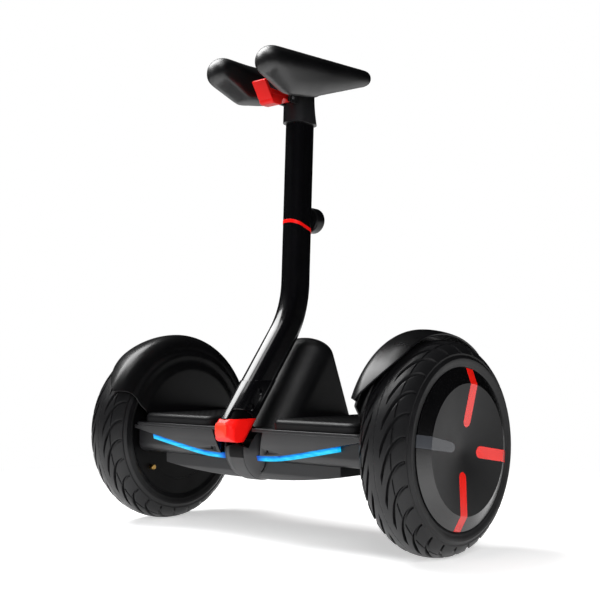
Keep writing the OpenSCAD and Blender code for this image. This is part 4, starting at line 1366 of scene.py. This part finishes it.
@dataclass
class Housing:
    """Deck, fascias, nose, lower shell and the other mouldings of the chassis.

    Attributes:
        edges: Width of the rounded edges for each node.
        lobes: Balls whose hull is the console: half width, distance to the rear, height, radius.
        cell: Cell of the console's even mesh.
        rounds: Passes of smoothing over the console.
        button_r: Radius of the hole for the button.
        button_tilt: Upward tilt of that hole, in degrees.
        button_depth: Length of that hole.
        window: Heights of the lower and upper edge of the nose band's polished window.
        screw_at: Place of the fascia's right-hand screw hole.
        screw_r: Radius of a screw hole.
        screw_depth: Depth of a screw hole.
        drill_out: How far the drill of a screw hole stands out of the fascia.
    """

    edges: dict[str, float] = field(default_factory=lambda: {
        "deck": 0.9 * MM, "rear_fascia": 0.8 * MM, "lower_shell": 1.2 * MM, "battery_housing": 1.6 * MM,
        "nose_cover": 0.9 * MM, "charge_port": 0.5 * MM, "port_cover": 0.7 * MM, "power_button": 0.6 * MM,
        "tail_lights": 0.5 * MM, "light_strip_left": 0.5 * MM, "light_strip_right": 0.5 * MM,
    })
    lobes: Sequence[tuple[float, float, float, float]] = (
        (47 * MM, 34 * MM, 236.5 * MM, 26 * MM), (48 * MM, -69.07 * MM, 109.36 * MM, 20 * MM),
        (48 * MM, 80.1 * MM, 127.38 * MM, 20 * MM),
    )
    cell: float = 2.4 * MM
    rounds: int = 8
    button_r: float = 10.3 * MM
    button_tilt: float = 20.0
    button_depth: float = 30 * MM
    window: Point = (108.5 * MM, 128 * MM)
    screw_at: Triple = (49 * MM, -92.8 * MM, 117.7 * MM)
    screw_r: float = 2.4 * MM
    screw_depth: float = 1.6 * MM
    drill_out: float = 4 * MM

    def console(self) -> Piece:
        """Models the console as a soft wedge that stands on the deck, with a hole for the button."""
        balls = []
        faces = {"segments": 48, "ring_count": 32}
        for half, y, z, radius in self.lobes:
            ball = added(bpy.ops.mesh.primitive_uv_sphere_add, "lobe", radius=radius, **faces)
            ball.data.transform(Matrix.Translation((0, y, z)) @ Matrix.Diagonal((half / radius, 1, 1, 1)))
            balls.append(ball)
        obj = join("console_shell", balls)
        with editing(obj):
            bpy.ops.mesh.convex_hull()
        modify(obj, "REMESH", mode="VOXEL", voxel_size=self.cell)
        modify(obj, "SMOOTH", factor=0.5, iterations=self.rounds)
        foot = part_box("centre_console")[0].z
        with editing(obj):
            bpy.ops.mesh.bisect(plane_co=(0, 0, foot), plane_no=(0, 0, 1), use_fill=True, clear_inner=True)
        tilt = math.radians(self.button_tilt)
        slope = Vector((0, math.cos(tilt), math.sin(tilt)))
        hole = middle_of("power_button") - slope * self.button_depth / 2
        return smooth(drilled(obj, self.button_r, self.button_depth, hole, slope, 40), 40)

    def fascia(self) -> Piece:
        """Drills two screw holes into the front fascia and sets a dark screw in each."""
        node = "front_fascia"
        obj = softened(node, 0.6 * MM)
        x, y, z = self.screw_at
        radius = self.screw_r
        rim, crest = radius * 0.92, radius * 0.6
        head = [(0, 0), (rim, 0), (rim, 0.3 * MM), (crest, 0.75 * MM), (0, 0.8 * MM)]
        for side in Side:
            foot = Vector((x * side.value, y + self.screw_depth, z))
            drilled(obj, radius, self.screw_depth + self.drill_out, foot, -Y, 24)
            screw = lathe(side.of("fascia_screw"), head, foot + Y * 0.1 * MM, -Y, 24)
            attach(smooth(screw, 40), BODY_OF[node], DARK)
        return obj

    def band(self) -> Piece:
        """Splits the nose band into its polished window and the plain strip around it."""
        node = "nose_band"
        obj = softened(node, 0.4 * MM)
        low = self.window[0]
        for height in self.window:
            with editing(obj):
                bpy.ops.mesh.bisect(plane_co=(0, 0, height), plane_no=(0, 0, 1))
        window = split_off(obj, "nose_window", lambda face: face.calc_center_median().z > low)
        attach(smooth(window, 40), BODY_OF[node], DARK)
        return obj

    def dress(self) -> None:
        """Puts the softened pieces in place."""
        for node, edge in self.edges.items():
            dress(softened(node, edge), node)
        dress(self.fascia(), "front_fascia")
        dress(self.console(), "centre_console", SOFT)
        dress(self.band(), "nose_band", BODY)


@dataclass
class SteeringBar:
    """The bent bar, its sleeves, cap, seam ring and screws.

    Attributes:
        edges: Width of the rounded edges for each node.
        seam_proud: How far the seam ring stands out of the bar.
        seam_drop: How far the seam ring reaches down over the lower bar.
        cap_cell: Cell of the red cap's even mesh.
        cap_rounds: Passes of smoothing over the red cap.
        sleeve_proud: How far the sleeve stands out of the bar.
        notches: Distance to the rear and height of the middle of each notch in the sleeve.
        notch: Length and height of a notch.
        notch_depth: Depth of a notch.
        notch_lean: Lean of a notch towards the rear, in degrees.
        screws: Distance to the rear and height of each screw beside the notches.
        screw_r: Radius of a screw's head.
        screw_sink: How far a screw's head sinks into the sleeve.
    """

    edges: dict[str, float] = field(default_factory=lambda: {
        "lower_bar": 0.4 * MM, "upper_bar": 0.5 * MM, "height_knob": 0.6 * MM,
    })
    seam_proud: float = 0.4 * MM
    seam_drop: float = 2.6 * MM
    cap_cell: float = 0.7 * MM
    cap_rounds: int = 7
    sleeve_proud: float = 0.9 * MM
    notches: Sequence[Point] = ((-71 * MM, 193 * MM), (-86 * MM, 173 * MM))
    notch: Point = (9 * MM, 6 * MM)
    notch_depth: float = 2.2 * MM
    notch_lean: float = 13.0
    screws: Sequence[Point] = ((-68.7 * MM, 188.8 * MM), (-84.8 * MM, 168.8 * MM))
    screw_r: float = 1.6 * MM
    screw_sink: float = 0.15 * MM

    def seam(self) -> Piece:
        """Makes the seam ring stand a little proud and reach down over the lower bar's end."""
        obj = softened("seam_ring", 0.3 * MM)
        middle = sum((vertex.co for vertex in obj.data.vertices), Vector()) / len(obj.data.vertices)
        upper = [face for face in obj.data.polygons if face.normal.z > 0.3]
        slant = max(upper, key=lambda face: face.area).normal.copy()
        for vertex in obj.data.vertices:
            away = vertex.co - middle
            up = away.dot(slant)
            drop = self.seam_drop if up < 0 else 0
            vertex.co += (away - slant * up).normalized() * self.seam_proud - Z * drop
        return obj

    def sleeve(self) -> Piece:
        """Cuts the notches into the sleeve's sides and sets a bright screw beside each."""
        node = "base_sleeve"
        obj = modify(softened(node, 0.7 * MM), "DISPLACE", strength=self.sleeve_proud, mid_level=0.0)
        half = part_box(node)[1].x + self.sleeve_proud
        turn = Matrix.Rotation(math.radians(-self.notch_lean), 4, "X")
        size = Matrix.Diagonal((2 * self.notch_depth, *self.notch, 1))
        radius = self.screw_r
        head = [(0, 0), (radius, 0), (radius, 0.25 * MM), (radius * 0.7, 0.6 * MM), (0, 0.75 * MM)]
        for side in Side:
            for y, z in self.notches:
                box = added(bpy.ops.mesh.primitive_cube_add, "notch", size=1)
                box.data.transform(Matrix.Translation((half * side.value, y, z)) @ turn @ size)
                cut_out(obj, box)
            for number, (y, z) in enumerate(self.screws):
                seat = Vector(((half - self.screw_sink) * side.value, y, z))
                screw = lathe(f"{side.of('sleeve_screw')}_{number}", head, seat, X * side.value, 20)
                attach(smooth(screw, 50), BODY_OF[node], STEEL)
        return obj

    def dress(self) -> None:
        """Puts the softened pieces in place."""
        for node, edge in self.edges.items():
            dress(softened(node, edge), node)
        dress(self.seam(), "seam_ring")
        dress(self.sleeve(), "base_sleeve")
        for node in ("red_cap", "cap_plug"):
            dress(blended(node, f"{node}_skin", self.cap_cell, self.cap_rounds), node)


@dataclass
class PaddedHead:
    """Bracket, release lever and knee pads at the top of the bar.

    Attributes:
        cell: Cell of the remeshed pads.
        rounds: Passes of smoothing over the remeshed pads.
        fill: How tightly the pads are filled; not used.
        tail: How far a pad's rear end is drawn in, back and up.
        chin: How far the lower sides of a pad's front end are raised.
        bracket_edge: Width of the bracket's rounded edges.
        arm_z: Height above which the bracket's arms are trimmed.
        arm_end: Distance to the rear at which they end.
        lever_edge: Width of the lever's rounded edges.
        roll: Outline of the lever's rolled lower end: distance to the rear, height and corner radius.
    """

    cell: float = 3.0 * MM
    rounds: int = 12
    fill: float = 0.9
    tail: Triple = (13 * MM, 18 * MM, 6 * MM)
    chin: float = 12 * MM
    bracket_edge: float = 1.4 * MM
    arm_z: float = 572 * MM
    arm_end: float = 34 * MM
    lever_edge: float = 1.2 * MM
    roll: Sequence[Triple] = (
        (-47 * MM, 584 * MM, 0.0), (-42 * MM, 571 * MM, 6 * MM), (-26 * MM, 571 * MM, 4 * MM),
        (-20 * MM, 584 * MM, 0.0),
    )

    def pad(self, side: Side) -> Piece:
        """Melts one pad's block into a soft, even form."""
        node, name = side.of("knee_pad"), side.of("knee_pad_foam")
        return blended(node, name, self.cell, self.rounds, lambda obj: self.stretch(obj, side), finer=1)

    def stretch(self, obj: Piece, side: Side) -> None:
        """Draws a pad's tail out and in, and rounds its front end's lower sides."""
        low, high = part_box(side.of("knee_pad"))
        middle = (low + high) / 2
        half = (high - low) / 2
        inward, rearward, upward = self.tail
        for vertex in obj.data.vertices:
            away = vertex.co - middle
            back = clamp((away.y + 0.5 * half.y) / (1.5 * half.y))
            back *= back * (3 - 2 * back)
            front = clamp(-away.y / half.y)
            aside = abs(away.x) / half.x
            under = max(0.0, -away.z / half.z)
            lift = upward * back + self.chin * front * aside * under
            vertex.co += Vector((-side.value * inward * back, rearward * back, lift))

    def bracket(self) -> Piece:
        """Trims the bracket's arms so that they end under the pads."""
        obj = softened("pad_bracket", self.bracket_edge)
        for vertex in obj.data.vertices:
            if vertex.co.z > self.arm_z:
                vertex.co.y = min(vertex.co.y, self.arm_end)
        return obj

    def lever(self) -> Piece:
        """Adds the rolled lower end to the release lever."""
        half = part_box("release_lever")[1].x
        width = X * 2 * half
        outline = rounded(self.roll)
        roll = slab("lever_roll", outline, lambda y, z: Vector((-half, y, z)), width, self.lever_edge)
        return join("release_lever_skin", [softened("release_lever", self.lever_edge), roll])

    def dress(self) -> None:
        """Puts the softened pieces and the pads in place."""
        dress(self.bracket(), "pad_bracket")
        dress(self.lever(), "release_lever")
        for side in Side:
            dress(self.pad(side), side.of("knee_pad"))


@dataclass(frozen=True)
class SoftBox:
    """A soft area lamp.

    Attributes:
        name: Name of the lamp.
        place: Where it stands.
        size: Its two sides.
        watts: Its power.
        mirrored: Whether polished surfaces mirror it.
    """

    name: str
    place: Triple
    size: Point
    watts: float
    mirrored: bool = True

    def light(self, aim: Vector) -> None:
        """Adds the lamp, facing a place."""
        obj = added(bpy.ops.object.light_add, self.name, type="AREA", location=self.place)
        obj.rotation_euler = (aim - Vector(self.place)).to_track_quat("-Z", "Y").to_euler()
        obj.data.shape = "RECTANGLE"
        obj.data.size, obj.data.size_y = self.size
        obj.data.energy = self.watts
        obj.visible_glossy = self.mirrored
        obj.visible_camera = False


@dataclass
class Studio:
    """Camera, plain floor and soft light.

    Attributes:
        eye: Place of the camera.
        azimuth: Camera's turn to the scooter's right, in degrees.
        elevation: Camera's height angle, in degrees.
        lens: Focal length in millimetres.
        sensor: Width of the camera's sensor in millimetres.
        shift: Shift of the picture, across and up.
        ambient: Strength of the surroundings as a light.
        floor_size: Side of the floor.
        floor_fade: Distances between which the floor turns plain white.
        floor_tone: Tone of the floor near the scooter.
        floor_glow: Share of white that the floor near the scooter shows of itself.
        cloth_r: Radius of the black cloth's round.
        cloth_foot: Height of the cloth's lower edge.
        cloth_h: Height of the cloth.
        cloth_tones: Darkest and lightest tone of the cloth.
        aim: The place that the lamps face.
        boxes: The lamps.
    """

    eye: Triple = (0.95566, -1.06521, 0.23315)
    azimuth: float = 41.897
    elevation: float = -2.49
    lens: float = 63.95
    sensor: float = 36.0
    shift: Point = (0.0206, 0.0212)
    ambient: float = 0.35
    floor_size: float = 40.0
    floor_fade: Point = (0.45, 1.0)
    floor_tone: float = 0.82
    floor_glow: float = 0.5
    cloth_r: float = 3.0
    cloth_foot: float = 0.02
    cloth_h: float = 3.2
    cloth_tones: Point = (0.002, 0.004)
    aim: Triple = (0.0, 0.0, 0.3)
    boxes: Sequence[SoftBox] = (
        SoftBox("key_box", (-1.05, -0.35, 2.0), (1.4, 1.5), 72),
        SoftBox("top_box", (0.1, -0.7, 2.0), (0.7, 0.7), 6),
        SoftBox("fill_box", (1.7, -1.2, 1.0), (1.4, 1.4), 40, mirrored=False),
        SoftBox("front_box", (-0.3, -1.9, 0.4), (1.0, 0.6), 12, mirrored=False),
    )

    def camera(self) -> None:
        """Adds the camera."""
        obj = added(bpy.ops.object.camera_add, "studio_camera", location=self.eye)
        obj.rotation_euler = (math.radians(90 - self.elevation), 0, math.radians(self.azimuth))
        obj.data.lens = self.lens
        obj.data.sensor_width = self.sensor
        obj.data.shift_x, obj.data.shift_y = self.shift
        bpy.context.scene.camera = obj

    def direct_rays(self, tree: bpy.types.NodeTree) -> Socket:
        """Adds nodes that are 1 for camera, glossy and transmission rays and 0 for others."""
        path = tree.nodes.new("ShaderNodeLightPath")
        total = path.outputs["Is Camera Ray"]
        for name in ("Is Glossy Ray", "Is Transmission Ray"):
            larger = tree.nodes.new("ShaderNodeMath")
            larger.operation = "MAXIMUM"
            tree.links.new(total, larger.inputs[0])
            tree.links.new(path.outputs[name], larger.inputs[1])
            total = larger.outputs["Value"]
        return total

    def world(self) -> None:
        """Makes the surroundings white to look at and dim as a light."""
        world = bpy.data.worlds.new("studio")
        world.use_nodes = True
        tree = world.node_tree
        background = tree.nodes["Background"]
        background.inputs["Color"].default_value = (1, 1, 1, 1)
        strength = tree.nodes.new("ShaderNodeMapRange")
        strength.inputs["To Min"].default_value = self.ambient
        strength.inputs["To Max"].default_value = 1.0
        tree.links.new(self.direct_rays(tree), strength.inputs["Value"])
        tree.links.new(strength.outputs["Result"], background.inputs["Strength"])
        bpy.context.scene.world = world

    def floor(self) -> None:
        """Lays a pale floor that keeps the scooter's shadow."""
        obj = added(bpy.ops.mesh.primitive_plane_add, "studio_floor", size=self.floor_size)
        tree = ShaderTree("studio_floor")
        away = tree.add("ShaderNodeVectorMath", operation="LENGTH")
        tree.join(tree.place, away.inputs[0])
        distance = away.outputs["Value"]
        fade = tree.spread(distance, 0.0, 1.0, *self.floor_fade)
        tree.feed("Base Color", tree.tint(fade, ((0.0, (self.floor_tone,) * 3), (1.0, (0.0, 0.0, 0.0)))))
        tree.set(Roughness=0.9, Specular_IOR_Level=0.0, Emission_Color=(1, 1, 1, 1))
        glow = tree.add("ShaderNodeMapRange")
        glow.inputs["To Min"].default_value = 0.0
        tree.join(tree.spread(distance, self.floor_glow, 1.0, *self.floor_fade), glow.inputs["To Max"])
        tree.join(self.direct_rays(tree.tree), glow.inputs["Value"])
        tree.feed("Emission Strength", glow.outputs["Result"])
        obj.data.materials.append(tree.material)

    def curtain(self) -> None:
        """Hangs black cloth round and above the scooter, which its polished sides mirror."""
        middle = (0, 0, self.cloth_foot + self.cloth_h / 2)
        size = {"radius": self.cloth_r, "depth": self.cloth_h}
        obj = added(bpy.ops.mesh.primitive_cylinder_add, "studio_cloth", vertices=64, location=middle, **size)
        with editing(obj):
            choose(obj, lambda face: face.normal.z < -0.5)
            bpy.ops.mesh.delete(type="FACE")
        obj.visible_camera = False
        tree = ShaderTree("studio_cloth")
        dark, light = self.cloth_tones
        tree.feed("Base Color", tree.tint(tree.noise(8), ((0.3, (dark,) * 3), (0.7, (light,) * 3))))
        tree.set(Roughness=1.0, Specular_IOR_Level=0.0)
        obj.data.materials.append(tree.material)

    def set_up(self) -> None:
        """Adds everything that isn't the scooter."""
        self.camera()
        self.world()
        self.floor()
        self.curtain()
        for box in self.boxes:
            box.light(Vector(self.aim))
        bpy.context.scene.view_settings.view_transform = "Standard"


def paint_rest() -> None:
    """Gives every node of the frame, shown or hidden inside, the finish of its slot."""
    for node, obj in frame["nodes"].items():
        obj.data.materials.clear()
        obj.data.materials.append(BY_SLOT[SLOT_OF[node]].material())


def main() -> None:
    """Builds the scooter's pieces in order and sets up the studio."""
    logging.basicConfig(level=logging.INFO, format="%(name)s: %(message)s")
    paint_rest()
    for side in Side:
        Tyre(side).dress()
        WheelTrim(side).dress()
        Fender(side).dress()
        Footpad(side).dress()
    Housing().dress()
    SteeringBar().dress()
    PaddedHead().dress()
    Studio().set_up()


if __name__ == "__main__":
    main()
